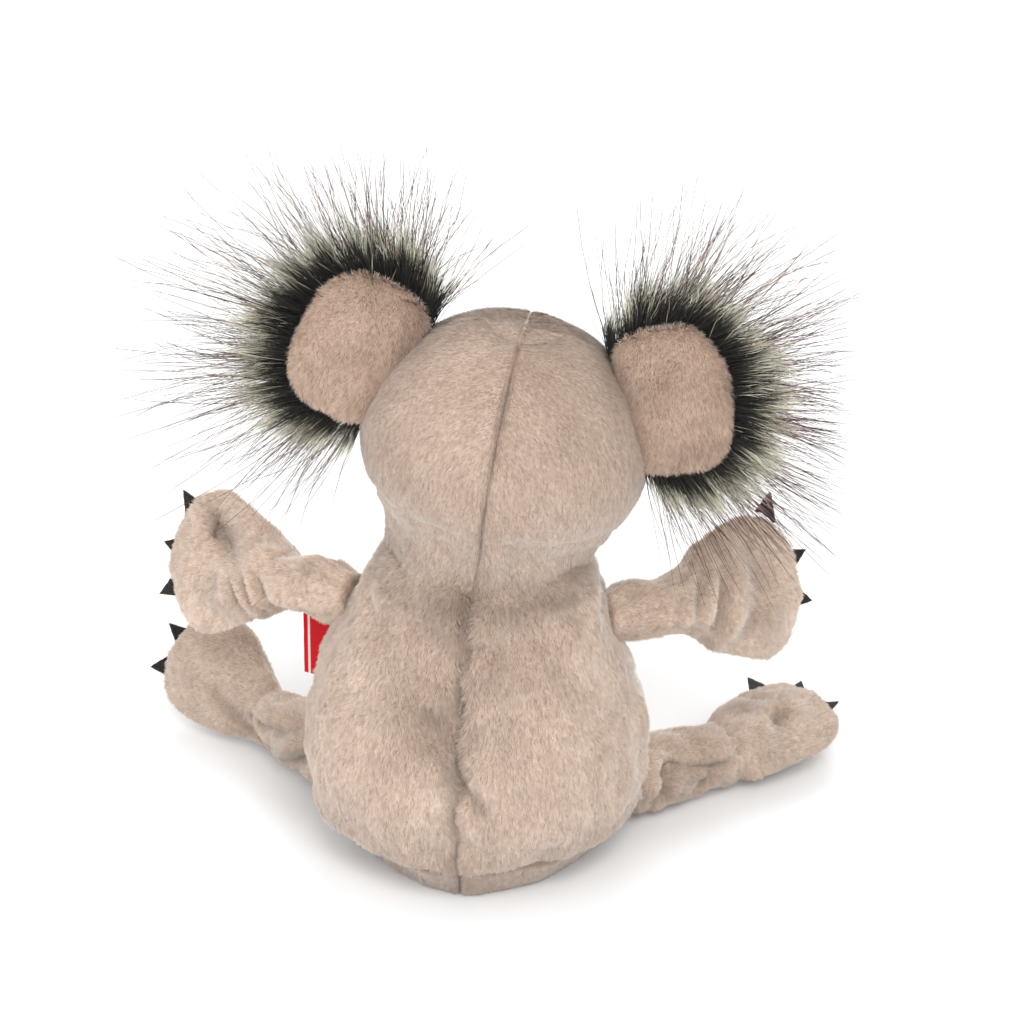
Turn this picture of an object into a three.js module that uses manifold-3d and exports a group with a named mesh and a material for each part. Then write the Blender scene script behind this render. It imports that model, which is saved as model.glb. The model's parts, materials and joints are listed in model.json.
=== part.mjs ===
// A koala glove puppet, sitting upright on its open hem with its limbs spread.
// Millimetres, +Z up, facing -Y. The origin is the bottom centre of its bounding box.
import * as THREE from 'three';
import { mergeVertices } from 'three/addons/utils/BufferGeometryUtils.js';
import Module from 'manifold-3d';

const wasm = await Module();
wasm.setup();

// Fabric and fit
const plush = 3; // pile and backing together
const waddingThickness = 4;
const liningThickness = 1.2;
const seamGap = 0.3; // between pieces that touch
const turningGap = 1.6; // between pieces that turn against each other
const feltThickness = 1.6;

// Torso, a pear that is open at both ends
const torsoHeight = 127; // floor to the neck's turning centre
const hemHalfWidth = 51;
const bellyHalfWidth = 69;
const bellyHeight = 44;
const collarHalfWidth = 48;
const collarDrop = 14; // the collar's rim below the neck's turning centre
const torsoDepthShare = 0.87; // depth for each unit of width
const hemHeight = 15;
const sideSeamY = -8;

// Head, an upside-down teardrop on a ball that sits in the collar
const neckBall = 40;
const neckLean = 3.8; // the neck's centre is off the middle, towards the right arm
const headHalfWidth = 56;
const headHeight = 101; // neck centre to crown
const headDepthShare = 0.93;
const headWidest = 47; // height of the widest place above the neck centre
const headRoll = -8; // degrees, towards the right arm
const headPitch = 5; // degrees, nodding forwards
const neckOpening = neckBall * 0.7; // depth of the neck's opening below its centre

// Finger sleeves
const fingerBore = 9.5; // radius of the pocket in the head
const pocketHeight = 45;
const thumbBore = 8.5; // radius of the hollow in each arm
const thumbDepth = 31;

// Ears
const earHalfWidth = 29;
const earLength = 38;
const earDome = 9; // how far the plush back bulges
const earHeights = { left: 76, right: 78.5 }; // on the head, above the neck centre; sewn on unevenly
const earOut = 2; // its root beyond the head's side there
const earBack = 3;
const earRise = 20; // degrees above level
const earLean = 16; // degrees that the ear's back turns upwards
const furReach = 56; // radius of the combed fur
const furLift = 4; // the fur's middle above the ear's middle
const furOut = 5; // and further out
const furDepth = 22;
const furRoot = 4; // the fur starts this far out along the ear
const earOval = 0.86; // the ear's length for its width

// Arms and paws
const shoulderHeight = 103;
const shoulderBall = 14;
const armholeGap = 2.6; // around the arm's root
const shoulderOut = 2; // the shoulder's centre outside the torso's surface
const sleeveLength = 42; // shoulder centre to wrist centre
const sleeveRadius = 13.5;
const sleeveSocket = shoulderBall - 2; // the hollow that turns around the armhole's binding
const sleeveWaist = 10.5; // gathered radius beside the armhole
const wristBall = 10.5;
const pawLength = 40;
const pawHalfWidth = 29;
const pawDepthShare = 0.36;
const armPoses = { left: { yaw: -29, down: 6, roll: 25 }, right: { yaw: 219, down: 5, roll: -25 } };

// Legs and feet
const hipHeight = 17;
const hipBall = 14.5;
const hipAngle = 25; // degrees forwards of straight sideways, around the torso
const legLength = 46; // hip centre to ankle centre
const legRadius = 15.5;
const legWaist = 12.5;
const ankleBall = 11.5;
const footLength = 50;
const footHalfWidth = 22;
const footDepthShare = 0.42;
const legPoses = { left: { yaw: -38, down: 1.5, roll: 0 }, right: { yaw: 216, down: 1.5, roll: 0 } };
const footPoses = {
  left: { yaw: 6, down: -20, roll: 30 },
  right: { yaw: 14, down: -2, roll: -84 },
};

// Claws, three on each paw and foot
const clawLength = 11;
const clawWidth = 11;
const clawAngles = { // degrees around the rim
  paw_left: [-34, 4, 44],
  paw_right: [-21, 18, 64],
  foot_left: [-38, 6, 50],
  foot_right: [-10, 34, 78],
};

// Face
const noseSize = new THREE.Vector3(12, 7, 16);
const noseHeight = 40;
const eyeRadius = 5.5;
const eyeHeight = 58;
const eyeSpacing = 25; // each eye from the middle
const eyeShank = 1.8;
const washerRadius = 5;
const mouthWidth = 15;
const faceSeamY = -10;

// Label in the left side seam
const labelSize = new THREE.Vector3(19, 1, 29);
const labelHeight = 66;
const labelY = -24;
const labelTurn = 18; // degrees that it lies forwards

const rounds = { torso: 20, head: 20, limb: 12 }; // facets around each kind of piece

const material = (color, roughness = 0.95, metalness = 0) =>
  new THREE.MeshStandardMaterial({ color, roughness, metalness });
const plushCloth = material(0xc4ad9c);
const bellyCloth = material(0xe6dccf);
const furCloth = material(0x4d4b45, 0.85);
const liningCloth = material(0xd9d2c8);
const fibreFill = material(0xf0eeea);
const blackFelt = material(0x1c1a19);
const blackGloss = material(0x0c0b0b, 0.12);
const redRibbon = material(0xc8101c, 0.5);
const clearPlastic = material(0xe4e4e0, 0.4);
const noseCloth = material(0x17130f, 0.7);

const radians = THREE.MathUtils.degToRad;
const point = (x, y) => new THREE.Vector2(x, y);

/** A closed geometry as a solid that can be cut and joined. */
function solid(geometry) {
  const bare = geometry.clone();
  bare.deleteAttribute('normal');
  bare.deleteAttribute('uv');
  const merged = mergeVertices(bare, 1e-4);
  const corners = merged.attributes.position;
  const corner = (i) => new THREE.Vector3().fromBufferAttribute(corners, i);
  const faces = [];
  let volume = 0;
  for (let i = 0; i < merged.index.count; i += 3) {
    const [a, b, c] = [0, 1, 2].map((k) => merged.index.getX(i + k));
    if (a === b || b === c || c === a) continue;
    faces.push([a, b, c]);
    volume += corner(a).dot(corner(b).cross(corner(c)));
  }
  const outward = volume > 0 ? faces : faces.map(([a, b, c]) => [a, c, b]);
  return new wasm.Manifold(
    new wasm.Mesh({
      numProp: 3,
      vertProperties: new Float32Array(corners.array),
      triVerts: new Uint32Array(outward.flat()),
    }),
  );
}

/** Adds a solid to a group as a named mesh. */
function piece(group, name, shape, finish) {
  const cut = shape.getMesh();
  const geometry = new THREE.BufferGeometry();
  geometry.setAttribute('position', new THREE.BufferAttribute(cut.vertProperties, 3));
  geometry.setIndex(new THREE.BufferAttribute(cut.triVerts, 1));
  geometry.computeVertexNormals();
  const mesh = new THREE.Mesh(geometry, finish);
  mesh.name = name;
  group.add(mesh);
}

/** A profile of (radius, height) turned about Z, with its depth scaled. */
function turned(profile, facets, depthShare = 1) {
  return new THREE.LatheGeometry(profile, facets).rotateX(Math.PI / 2).scale(1, depthShare, 1);
}

/** A profile of (radius, distance) turned about X, with its thickness scaled. */
function limbShape(profile, depthShare = 1) {
  return new THREE.LatheGeometry(profile, rounds.limb).rotateZ(-Math.PI / 2).scale(1, depthShare, 1);
}

const ball = (radius, at = [0, 0, 0], facets = 12) =>
  solid(new THREE.SphereGeometry(radius, facets, Math.round(facets * 0.6)).translate(...at));
const rodAlongX = (radius, from, to, facets = 12) =>
  solid(new THREE.CylinderGeometry(radius, radius, to - from, facets).rotateZ(Math.PI / 2)
    .translate((from + to) / 2, 0, 0));
const rodAlongZ = (radius, from, to, facets = 14) =>
  solid(new THREE.CylinderGeometry(radius, radius, to - from, facets).rotateX(Math.PI / 2)
    .translate(0, 0, (from + to) / 2));

/** A block between two corners. */
function block(low, high) {
  const size = high.map((value, i) => value - low[i]);
  const middle = high.map((value, i) => (value + low[i]) / 2);
  return solid(new THREE.BoxGeometry(...size).translate(...middle));
}

/** Points along an arc of a circle about (0, centre), from one distance to another. */
function arc(radius, centre, from, to, steps) {
  const points = [];
  for (let i = 0; i <= steps; i += 1) {
    const along = from + ((to - from) * i) / steps;
    points.push(point(Math.sqrt(Math.max(radius ** 2 - (along - centre) ** 2, 0)), along));
  }
  return points;
}

/** A profile moved inwards, or outwards if negative; its ends on the axis stay there. */
const inset = (profile, by) => profile.map((p) => point(p.x === 0 ? 0 : Math.max(p.x - by, 0), p.y));

/** A group at a place, turned by yaw, then down, then roll, in degrees. */
function turnedGroup(parent, name, place, { yaw = 0, down = 0, roll = 0 }) {
  const group = new THREE.Group();
  group.name = name;
  group.position.set(...place);
  group.rotation.set(radians(roll), radians(down), radians(yaw), 'ZYX');
  parent.add(group);
  return group;
}

const puppet = new THREE.Group();

// ---------------------------------------------------------------- torso

const torsoCurve = new THREE.SplineCurve([
  point(hemHalfWidth, 0),
  point((hemHalfWidth + bellyHalfWidth) / 2 + 4, bellyHeight * 0.4),
  point(bellyHalfWidth, bellyHeight),
  point((bellyHalfWidth + collarHalfWidth) / 2 + 2.5, torsoHeight * 0.65),
  point(collarHalfWidth, torsoHeight - collarDrop),
]);
const torsoProfile = torsoCurve.getPoints(7);

/** The torso's half-width at a height. */
function torsoHalfWidthAt(height) {
  const upper = torsoProfile.findIndex((p) => p.y >= height);
  const [low, high] = [torsoProfile[upper - 1], torsoProfile[upper]];
  return THREE.MathUtils.mapLinear(height, low.y, high.y, low.x, high.x);
}

/** A ring-shaped layer of the torso between two depths below its surface, above a height. */
function torsoLayer(outerDepth, innerDepth, bottom = 0) {
  const kept = torsoProfile.filter((p) => p.y > bottom + 1);
  const wall = [point(torsoHalfWidthAt(Math.max(bottom, 1e-6)), bottom), ...kept];
  const profile = [...inset(wall, outerDepth), ...inset(wall, innerDepth).reverse()];
  return solid(turned([...profile, profile[0]], rounds.torso, torsoDepthShare));
}

const neck = [-neckLean, 0, torsoHeight];
const shoulders = {
  left: [torsoHalfWidthAt(shoulderHeight) + shoulderOut, -4, shoulderHeight],
  right: [-torsoHalfWidthAt(shoulderHeight) - shoulderOut, -4, shoulderHeight],
};
const hipOut = torsoHalfWidthAt(hipHeight) * Math.cos(radians(hipAngle));
const hipForward = -torsoHalfWidthAt(hipHeight) * torsoDepthShare * Math.sin(radians(hipAngle));
const hips = { left: [hipOut, hipForward, hipHeight], right: [-hipOut, hipForward, hipHeight] };

/** Cuts the collar, the armholes and the hips' hollows out of a torso layer. */
function openForJoints(layer) {
  let open = layer.subtract(ball(neckBall + turningGap, neck, 20));
  for (const side of ['left', 'right']) {
    open = open.subtract(ball(shoulderBall + armholeGap, shoulders[side]));
    open = open.subtract(ball(hipBall + turningGap, hips[side]));
  }
  return open;
}

const far = 200; // further than the puppet reaches
const skinLayer = openForJoints(torsoLayer(0, plush));
const half = seamGap / 2;
const backSeam = sideSeamY + half;
const leftBack = block([half, backSeam, -far], [far, far, far]);
const rightBack = block([-far, backSeam, -far], [-half, far, far]);
const front = block([-far, -far, -far], [far, sideSeamY - half, far]);
piece(puppet, 'torso_back_left', skinLayer.intersect(leftBack), plushCloth);
piece(puppet, 'torso_back_right', skinLayer.intersect(rightBack), plushCloth);
piece(puppet, 'belly_panel', skinLayer.intersect(front), bellyCloth);

const hemDepth = plush + seamGap;
const hemRing = torsoLayer(hemDepth, hemDepth + plush)
  .intersect(block([-far, -far, 0], [far, far, hemHeight]));
piece(puppet, 'hem_band', openForJoints(hemRing), plushCloth);
const waddingDepth = plush + seamGap;
const waddingLayer = torsoLayer(waddingDepth, waddingDepth + waddingThickness, hemHeight + seamGap);
piece(puppet, 'torso_wadding', openForJoints(waddingLayer), fibreFill);
const liningDepth = waddingDepth + waddingThickness + seamGap;
const liningLayer = torsoLayer(liningDepth, liningDepth + liningThickness, seamGap);
piece(puppet, 'glove_lining', openForJoints(liningLayer), liningCloth);

const labelReach = torsoHalfWidthAt(labelHeight) * Math.sqrt(
  1 - (labelY / (torsoHalfWidthAt(labelHeight) * torsoDepthShare)) ** 2);
const labelPlate = solid(new THREE.BoxGeometry(...labelSize)
  .translate(labelSize.x / 2 - plush, 0, 0).rotateZ(radians(-labelTurn))
  .translate(labelReach, labelY, labelHeight));
const labelRoom = solid(turned(
  [point(0, -seamGap), ...inset(torsoProfile, -seamGap), point(0, torsoHeight)],
  rounds.torso, torsoDepthShare));
piece(puppet, 'side_label', labelPlate.subtract(labelRoom), redRibbon);

// ---------------------------------------------------------------- head

const pocketBody = turnedGroup(puppet, 'pocket_body', neck, {});
pocketBody.rotation.set(radians(headPitch), radians(headRoll), 0);
const head = new THREE.Group();
pocketBody.add(head);

const lowerHead = new THREE.SplineCurve([
  point(neckBall * 0.985, 6),
  point((neckBall + headHalfWidth) / 2 - 1, headWidest * 0.42),
  point(headHalfWidth - 2, headWidest * 0.72),
  point(headHalfWidth, headWidest),
]).getPoints(4);
const crown = [];
const crownSteps = 5;
for (let i = 1; i <= crownSteps; i += 1) {
  const turn = (Math.PI / 2) * (i / crownSteps);
  const rise = (headHeight - headWidest) * Math.sin(turn);
  crown.push(point(i === crownSteps ? 0 : headHalfWidth * Math.cos(turn), headWidest + rise));
}
const headProfile = [...arc(neckBall, 0, -neckOpening, -4, 3), ...lowerHead, ...crown];
const crownInset = (depth) => inset(headProfile, depth)
  .map((p) => point(p.x, Math.min(p.y, headHeight - depth)));
const headRound = (depth) => solid(turned(
  [point(0, -neckOpening), ...crownInset(depth)], rounds.head, headDepthShare));

const pocketWall = 1.5;
const flare = 8; // how far the pocket's mouth spreads
const flareHeight = 9;
const pocketOuter = fingerBore + pocketWall;
const pocketMouth = -neckOpening + 2;
const pocketTop = pocketHeight - fingerBore; // where its straight part ends
const boreFacets = 14;
// The filling's bore is measured across its flats.
const boreRadius = (pocketOuter + seamGap) / Math.cos(Math.PI / boreFacets);
const pocketProfile = [
  point(fingerBore + flare, pocketMouth),
  point(fingerBore, pocketMouth + flareHeight),
  ...arc(fingerBore, pocketTop, pocketTop, pocketHeight, 3),
  ...arc(pocketOuter, pocketTop, pocketTop, pocketHeight + pocketWall, 3).reverse(),
  point(pocketOuter, pocketMouth + flareHeight + pocketWall),
  point(fingerBore + flare + pocketWall, pocketMouth),
];
piece(pocketBody, 'finger_pocket', solid(turned([...pocketProfile, pocketProfile[0]], 16)), liningCloth);

/** The place on the head's front at a height, a distance to one side of the middle. */
function faceY(x, height) {
  const upper = headProfile.findIndex((p) => p.y >= height);
  const [low, high] = [headProfile[upper - 1], headProfile[upper]];
  const radius = THREE.MathUtils.mapLinear(height, low.y, high.y, low.x, high.x);
  return -headDepthShare * Math.sqrt(radius ** 2 - x ** 2);
}

const eyes = ['left', 'right'].map((side) => {
  const x = side === 'left' ? eyeSpacing : -eyeSpacing;
  return { side, at: [x, faceY(x, eyeHeight), eyeHeight] };
});
const shankTo = plush + seamGap; // washer's front face behind the skin
const rodAlongY = (radius, [x, y, z], from, to) =>
  solid(new THREE.CylinderGeometry(radius, radius, to - from, 10).translate(x, y + (from + to) / 2, z));

// An angled skin is deeper along Y than it is thick, so the washers sit a little further in.
const shankSlope = 3.2;
let headSkin = headRound(0).subtract(headRound(plush));
const fillBottom = pocketMouth + flareHeight + 2 * pocketWall; // above the pocket's flare
let headFill = headRound(plush + seamGap).intersect(block([-far, -far, fillBottom], [far, far, far]));
headFill = headFill.subtract(
  rodAlongZ(boreRadius, -neckOpening, pocketHeight + pocketWall + seamGap, boreFacets));
for (const { side, at } of eyes) {
  headSkin = headSkin.subtract(rodAlongY(eyeShank + seamGap, at, -8, 14));
  headFill = headFill.subtract(rodAlongY(washerRadius + seamGap, at, -8, 16));
  const dome = ball(eyeRadius, at).subtract(headRound(-seamGap));
  const shank = rodAlongY(eyeShank, at, -3, shankTo + shankSlope + 3);
  piece(head, `eye_${side}`, dome.add(shank), blackGloss);
  const washer = rodAlongY(washerRadius, at, shankTo + shankSlope + 3.3, shankTo + shankSlope + 4.8);
  piece(head, `eye_washer_${side}`, washer, clearPlastic);
}
piece(head, 'head_back_left',
  headSkin.intersect(block([half, faceSeamY + half, -far], [far, far, far])), plushCloth);
piece(head, 'head_back_right',
  headSkin.intersect(block([-far, faceSeamY + half, -far], [-half, far, far])), plushCloth);
piece(head, 'face_panel',
  headSkin.intersect(block([-far, -far, -far], [far, faceSeamY - half, far])), plushCloth);
piece(head, 'head_filling', headFill, fibreFill);
const noseBall = solid(new THREE.SphereGeometry(1, 14, 9).scale(...noseSize)
  .translate(0, faceY(0, noseHeight) - 2, noseHeight));
piece(head, 'nose', noseBall.subtract(headRound(-seamGap)), noseCloth);
const mouthDrop = noseHeight - noseSize.z - 7;
const mouthBar = solid(new THREE.BoxGeometry(mouthWidth, 8, feltThickness)
  .translate(0, faceY(0, mouthDrop) + 2.2, mouthDrop));
piece(head, 'mouth_stitch', mouthBar.subtract(headRound(-seamGap)), blackFelt);

// ---------------------------------------------------------------- ears

const earClearance = 2.6; // the plush back flops this close to the head
const furClearance = 6;
const earRoom = headRound(-earClearance);
const furRoom = headRound(-furClearance);
for (const side of ['left', 'right']) {
  const turn = side === 'left' ? -earRise : 180 + earRise;
  const crown = (earHeights[side] - headWidest) / (headHeight - headWidest);
  const earRoot = headHalfWidth * Math.sqrt(1 - crown ** 2) + earOut;
  const ear = new THREE.Group();
  ear.name = `ear_${side}`;
  ear.position.set(side === 'left' ? earRoot : -earRoot, earBack, earHeights[side]);
  const lean = side === 'left' ? earLean : -earLean;
  ear.rotation.set(radians(lean), radians(turn), 0, 'YXZ');
  head.add(ear);
  ear.updateMatrix();
  const toEar = ear.matrix.clone().invert().toArray();
  const skull = earRoom.transform(toEar);
  const skullForFur = furRoom.transform(toEar);
  const middle = earLength - earHalfWidth * earOval;
  const lens = (reach, thickness) => solid(new THREE.SphereGeometry(1, 14, 9).rotateX(Math.PI / 2)
    .scale(reach * earOval, thickness, reach).translate(middle, 0, 0));
  const rootSide = block([-1, -far, -far], [far, far, far]);
  const back = lens(earHalfWidth, earDome).intersect(block([-far, seamGap, -far], [far, far, far]));
  const pad = lens(earHalfWidth - plush, earDome - plush);
  const padRoom = lens(earHalfWidth - plush + seamGap, earDome - plush + seamGap);
  piece(ear, `ear_back_${side}`, back.subtract(padRoom).subtract(skull).intersect(rootSide), plushCloth);
  const padFront = block([0, seamGap, -far], [far, far, far]);
  piece(ear, `ear_pad_${side}`, pad.intersect(padFront).subtract(skull), fibreFill);
  const combed = lens(furReach, furDepth).translate(furOut, 0, side === 'left' ? furLift : -furLift);
  const fur = combed.intersect(block([furRoot, -far, -far], [far, -seamGap, far]));
  piece(ear, `ear_fur_${side}`, fur.subtract(skullForFur), furCloth);
}

// ---------------------------------------------------------------- arms and legs

/** Three felt claws around the rim of a fan-shaped paw, clear of its cover. */
function addClaws(group, name, profile, depthShare, halfWidth, length) {
  const grown = solid(limbShape([point(0, -1), ...inset(profile, -seamGap).slice(0, -1),
    point(0, length + seamGap)], depthShare));
  const rimCentre = length - halfWidth * 0.72;
  clawAngles[name].forEach((angle, i) => {
    const outline = new THREE.Shape([
      point(-4, -clawWidth / 2), point(0, -clawWidth / 2), point(clawLength, 0),
      point(0, clawWidth / 2), point(-4, clawWidth / 2)]);
    const blank = new THREE.ExtrudeGeometry(outline, { depth: feltThickness, bevelEnabled: false })
      .rotateX(Math.PI / 2).translate(rimReach(profile, rimCentre, angle) - 1, feltThickness / 2, 0)
      .rotateY(-radians(angle)).translate(rimCentre, 0, 0);
    piece(group, `${name}_claw_${i + 1}`, solid(blank).subtract(grown), blackFelt);
  });
}

/** How far a fan's edge is from a point on its axis, at an angle to the axis. */
function rimReach(profile, centre, angle) {
  const slope = Math.tan(radians(Math.abs(angle)));
  for (let i = profile.length - 1; i > 0; i -= 1) {
    const [near, out] = [profile[i - 1], profile[i]];
    const before = near.x - slope * (near.y - centre);
    const after = out.x - slope * (out.y - centre);
    if (before >= 0 && after <= 0) {
      const share = before / (before - after || 1);
      const along = near.y + (out.y - near.y) * share - centre;
      return along / Math.cos(radians(angle));
    }
  }
  return profile[profile.length - 1].y - centre;
}

/** The outline of a paw or foot: narrow at its ball, widest two thirds out, round at its end. */
function fanProfile(halfWidth, length, ballRadius) {
  const swell = new THREE.SplineCurve([
    point(ballRadius * 0.8, 3), point(halfWidth * 0.66, length * 0.34), point(halfWidth, length * 0.66)]);
  const round = [];
  const steps = 4;
  for (let i = 1; i <= steps; i += 1) {
    const turn = (Math.PI / 2) * (i / steps);
    round.push(point(i === steps ? 0 : halfWidth * Math.cos(turn) ** 0.8,
      length * (0.66 + 0.34 * Math.sin(turn))));
  }
  return [...swell.getPoints(3), ...round];
}

/** A stuffed paw or foot: an open cover, its filling and its claws. */
function addFan(group, name, { halfWidth, length, depthShare, ballRadius }) {
  const profile = fanProfile(halfWidth, length, ballRadius);
  const closed = (by) => {
    const thin = by / depthShare > halfWidth * 0.5 ? halfWidth * 0.5 : by;
    const body = inset(profile, thin).map((p) => point(p.x, Math.min(p.y, length - by)));
    return solid(limbShape([point(0, body[0].y), ...body], depthShare));
  };
  const skin = plush * (2 / 3); // a paw is cut from thinner plush than the torso
  const knob = ball(ballRadius);
  const inner = closed(skin / depthShare).add(rodAlongX(ballRadius * 0.45, -2 * ballRadius, length * 0.5));
  const cover = closed(0).add(knob).subtract(inner);
  piece(group, `${name}_cover`, cover, plushCloth);
  const stuffing = closed(skin / depthShare + seamGap / depthShare)
    .add(rodAlongX(ballRadius * 0.45 - seamGap, -ballRadius * 0.6, length * 0.45));
  piece(group, `${name}_filling`, stuffing, fibreFill);
  addClaws(group, name, profile, depthShare, halfWidth, length);
}

/** A limb's outer profile: a ball at the root, gathered beside it, full at the far end. */
function limbProfile({ rootBall, waist, radius, length, endBall }) {
  const end = length - endBall * 0.55;
  return [
    ...arc(rootBall, 0, -rootBall * 0.55, rootBall * 0.5, 4),
    point(waist, rootBall * 0.95),
    point(radius, length * 0.68),
    point(radius * 0.9, end),
    point(0, end),
  ];
}

for (const side of ['left', 'right']) {
  const swing = turnedGroup(puppet, `shoulder_${side}`, shoulders[side], armPoses[side]);
  const binding = ball(sleeveSocket - turningGap).subtract(rodAlongX(thumbBore, -far, far));
  piece(swing, `armhole_binding_${side}`, binding, liningCloth);

  const arm = turnedGroup(swing, `arm_${side}`, [0, 0, 0], {});
  const sleeve = limbProfile({
    rootBall: shoulderBall, waist: sleeveWaist, radius: sleeveRadius,
    length: sleeveLength, endBall: wristBall });
  const tip = arc(thumbBore, thumbDepth - thumbBore, thumbDepth - thumbBore, thumbDepth, 3);
  const thumbHollow = solid(limbShape([point(0, 0), point(thumbBore, 0), ...tip]));
  const sleeveShape = solid(limbShape([point(0, sleeve[0].y), ...sleeve]))
    .subtract(ball(sleeveSocket)).subtract(thumbHollow)
    .subtract(ball(wristBall + 1, [sleeveLength, 0, 0]));
  piece(arm, `arm_sleeve_${side}`, sleeveShape, plushCloth);

  const paw = turnedGroup(arm, `paw_${side}`, [sleeveLength, 0, 0], {});
  addFan(paw, `paw_${side}`, {
    halfWidth: pawHalfWidth, length: pawLength, depthShare: pawDepthShare, ballRadius: wristBall });

  const leg = turnedGroup(puppet, `leg_${side}`, hips[side], legPoses[side]);
  const thigh = limbProfile({
    rootBall: hipBall, waist: legWaist, radius: legRadius, length: legLength, endBall: ankleBall });
  const legInner = inset(thigh, plush).map((p) => point(p.x, Math.min(p.y, legLength - ankleBall - 2)));
  const legHollow = solid(limbShape([point(0, legInner[0].y - 1), point(legInner[0].x, legInner[0].y - 1),
    ...legInner]));
  const legCover = solid(limbShape([point(0, thigh[0].y), ...thigh]))
    .subtract(legHollow).subtract(ball(ankleBall + 1, [legLength, 0, 0]));
  piece(leg, `leg_cover_${side}`, legCover, plushCloth);
  const legCore = inset(legInner, seamGap)
    .map((p) => point(p.x, Math.min(p.y, legLength - ankleBall - 2 - seamGap)));
  piece(leg, `leg_filling_${side}`, solid(limbShape([point(0, legCore[0].y), ...legCore])), fibreFill);

  const foot = turnedGroup(leg, `foot_${side}`, [legLength, 0, 0], footPoses[side]);
  addFan(foot, `foot_${side}`, {
    halfWidth: footHalfWidth, length: footLength, depthShare: footDepthShare, ballRadius: ankleBall });
}

const bounds = new THREE.Box3().setFromObject(puppet, true);
const middle = bounds.getCenter(new THREE.Vector3());
puppet.position.set(-middle.x, -middle.y, -bounds.min.z);

export default puppet;
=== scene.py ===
import bpy
import itertools
import json
import math
import numpy as np
from mathutils import Matrix, Vector

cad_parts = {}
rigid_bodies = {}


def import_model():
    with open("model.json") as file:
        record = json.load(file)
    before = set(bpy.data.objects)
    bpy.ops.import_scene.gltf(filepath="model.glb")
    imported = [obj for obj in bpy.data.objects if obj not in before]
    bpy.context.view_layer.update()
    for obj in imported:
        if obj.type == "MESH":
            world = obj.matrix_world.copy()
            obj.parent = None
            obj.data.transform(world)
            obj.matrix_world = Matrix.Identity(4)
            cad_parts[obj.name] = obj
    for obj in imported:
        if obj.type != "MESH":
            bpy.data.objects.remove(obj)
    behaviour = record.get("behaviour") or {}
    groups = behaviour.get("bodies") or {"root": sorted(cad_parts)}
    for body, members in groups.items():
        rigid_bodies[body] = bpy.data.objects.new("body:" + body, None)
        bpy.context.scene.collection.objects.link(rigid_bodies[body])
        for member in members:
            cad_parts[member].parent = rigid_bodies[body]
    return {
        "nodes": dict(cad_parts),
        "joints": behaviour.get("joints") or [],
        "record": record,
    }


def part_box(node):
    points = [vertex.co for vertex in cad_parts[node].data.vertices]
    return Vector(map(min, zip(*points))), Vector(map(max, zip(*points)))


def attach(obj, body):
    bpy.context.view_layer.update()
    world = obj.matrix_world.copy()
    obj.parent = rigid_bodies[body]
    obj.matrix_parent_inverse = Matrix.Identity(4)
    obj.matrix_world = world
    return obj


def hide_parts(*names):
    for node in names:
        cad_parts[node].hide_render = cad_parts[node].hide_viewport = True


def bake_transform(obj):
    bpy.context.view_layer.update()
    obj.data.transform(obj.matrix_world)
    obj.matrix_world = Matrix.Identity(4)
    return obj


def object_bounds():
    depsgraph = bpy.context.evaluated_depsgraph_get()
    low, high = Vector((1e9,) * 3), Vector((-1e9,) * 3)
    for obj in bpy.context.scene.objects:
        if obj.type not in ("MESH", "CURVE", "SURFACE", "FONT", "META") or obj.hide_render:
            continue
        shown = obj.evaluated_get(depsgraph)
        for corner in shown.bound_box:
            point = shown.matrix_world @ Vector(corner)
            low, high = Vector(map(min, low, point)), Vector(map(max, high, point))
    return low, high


# A plush koala glove puppet on its open hem. Metres; the puppet faces -Y, its left arm is at +X.
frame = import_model()
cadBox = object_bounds()

# loose hair stays this near the CAD: 3 percent of its size and 9 mm on each side
cadLow, cadHigh = (np.array(corner, float) for corner in cadBox)
hairRoom = 0.03 * (cadHigh - cadLow) + 0.009
joints = {joint["name"]: joint for joint in frame["joints"]}
sides = {"left": 1, "right": -1}


def pivotOf(name):
    return Vector(joints[name]["pos_m"])


def axisOf(name):
    return Vector(joints[name]["axis"]).normalized()


def nodeMiddle(name):
    low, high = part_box(name)
    return (Vector(low) + Vector(high)) / 2


hemMiddle = nodeMiddle("hem_band")
base = Vector((hemMiddle.x, hemMiddle.y, 0))  # middle of the hem, on the floor
neck = pivotOf("neck_nod")


def frameAt(origin, xAxis, zAxis):
    # a place whose X runs along the piece and whose Z is nearest to zAxis
    x = xAxis.normalized()
    z = (zAxis - x * zAxis.dot(x)).normalized()
    y = z.cross(x)
    return Matrix.Translation(origin) @ Matrix((x, y, z)).transposed().to_4x4()


# ---- mesh helpers


def deselectAll():
    for other in list(bpy.context.selected_objects):
        other.select_set(False)


def activate(obj):
    deselectAll()
    obj.select_set(True)
    bpy.context.view_layer.objects.active = obj


def pointsOf(obj):
    found = np.empty(len(obj.data.vertices) * 3, np.float32)
    obj.data.vertices.foreach_get("co", found)
    return found.reshape(-1, 3).astype(float)


def movePoints(obj, places):
    obj.data.vertices.foreach_set("co", np.asarray(places, np.float32).ravel())
    obj.data.update()


def normalsOf(obj):
    found = np.empty(len(obj.data.vertices) * 3, np.float32)
    obj.data.vertices.foreach_get("normal", found)
    return found.reshape(-1, 3).astype(float)


def transformed(points, matrix):
    m = np.array(matrix)
    return points @ m[:3, :3].T + m[:3, 3]


def finishWith(obj, kind, **values):
    # adds a modifier and applies it
    activate(obj)
    modifier = obj.modifiers.new(kind, kind)
    for key, value in values.items():
        setattr(modifier, key, value)
    bpy.ops.object.modifier_apply(modifier=modifier.name)
    return obj


def smoothStep(value, low, high):
    t = np.clip((value - low) / (high - low), 0, 1)
    return t * t * (3 - 2 * t)


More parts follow.
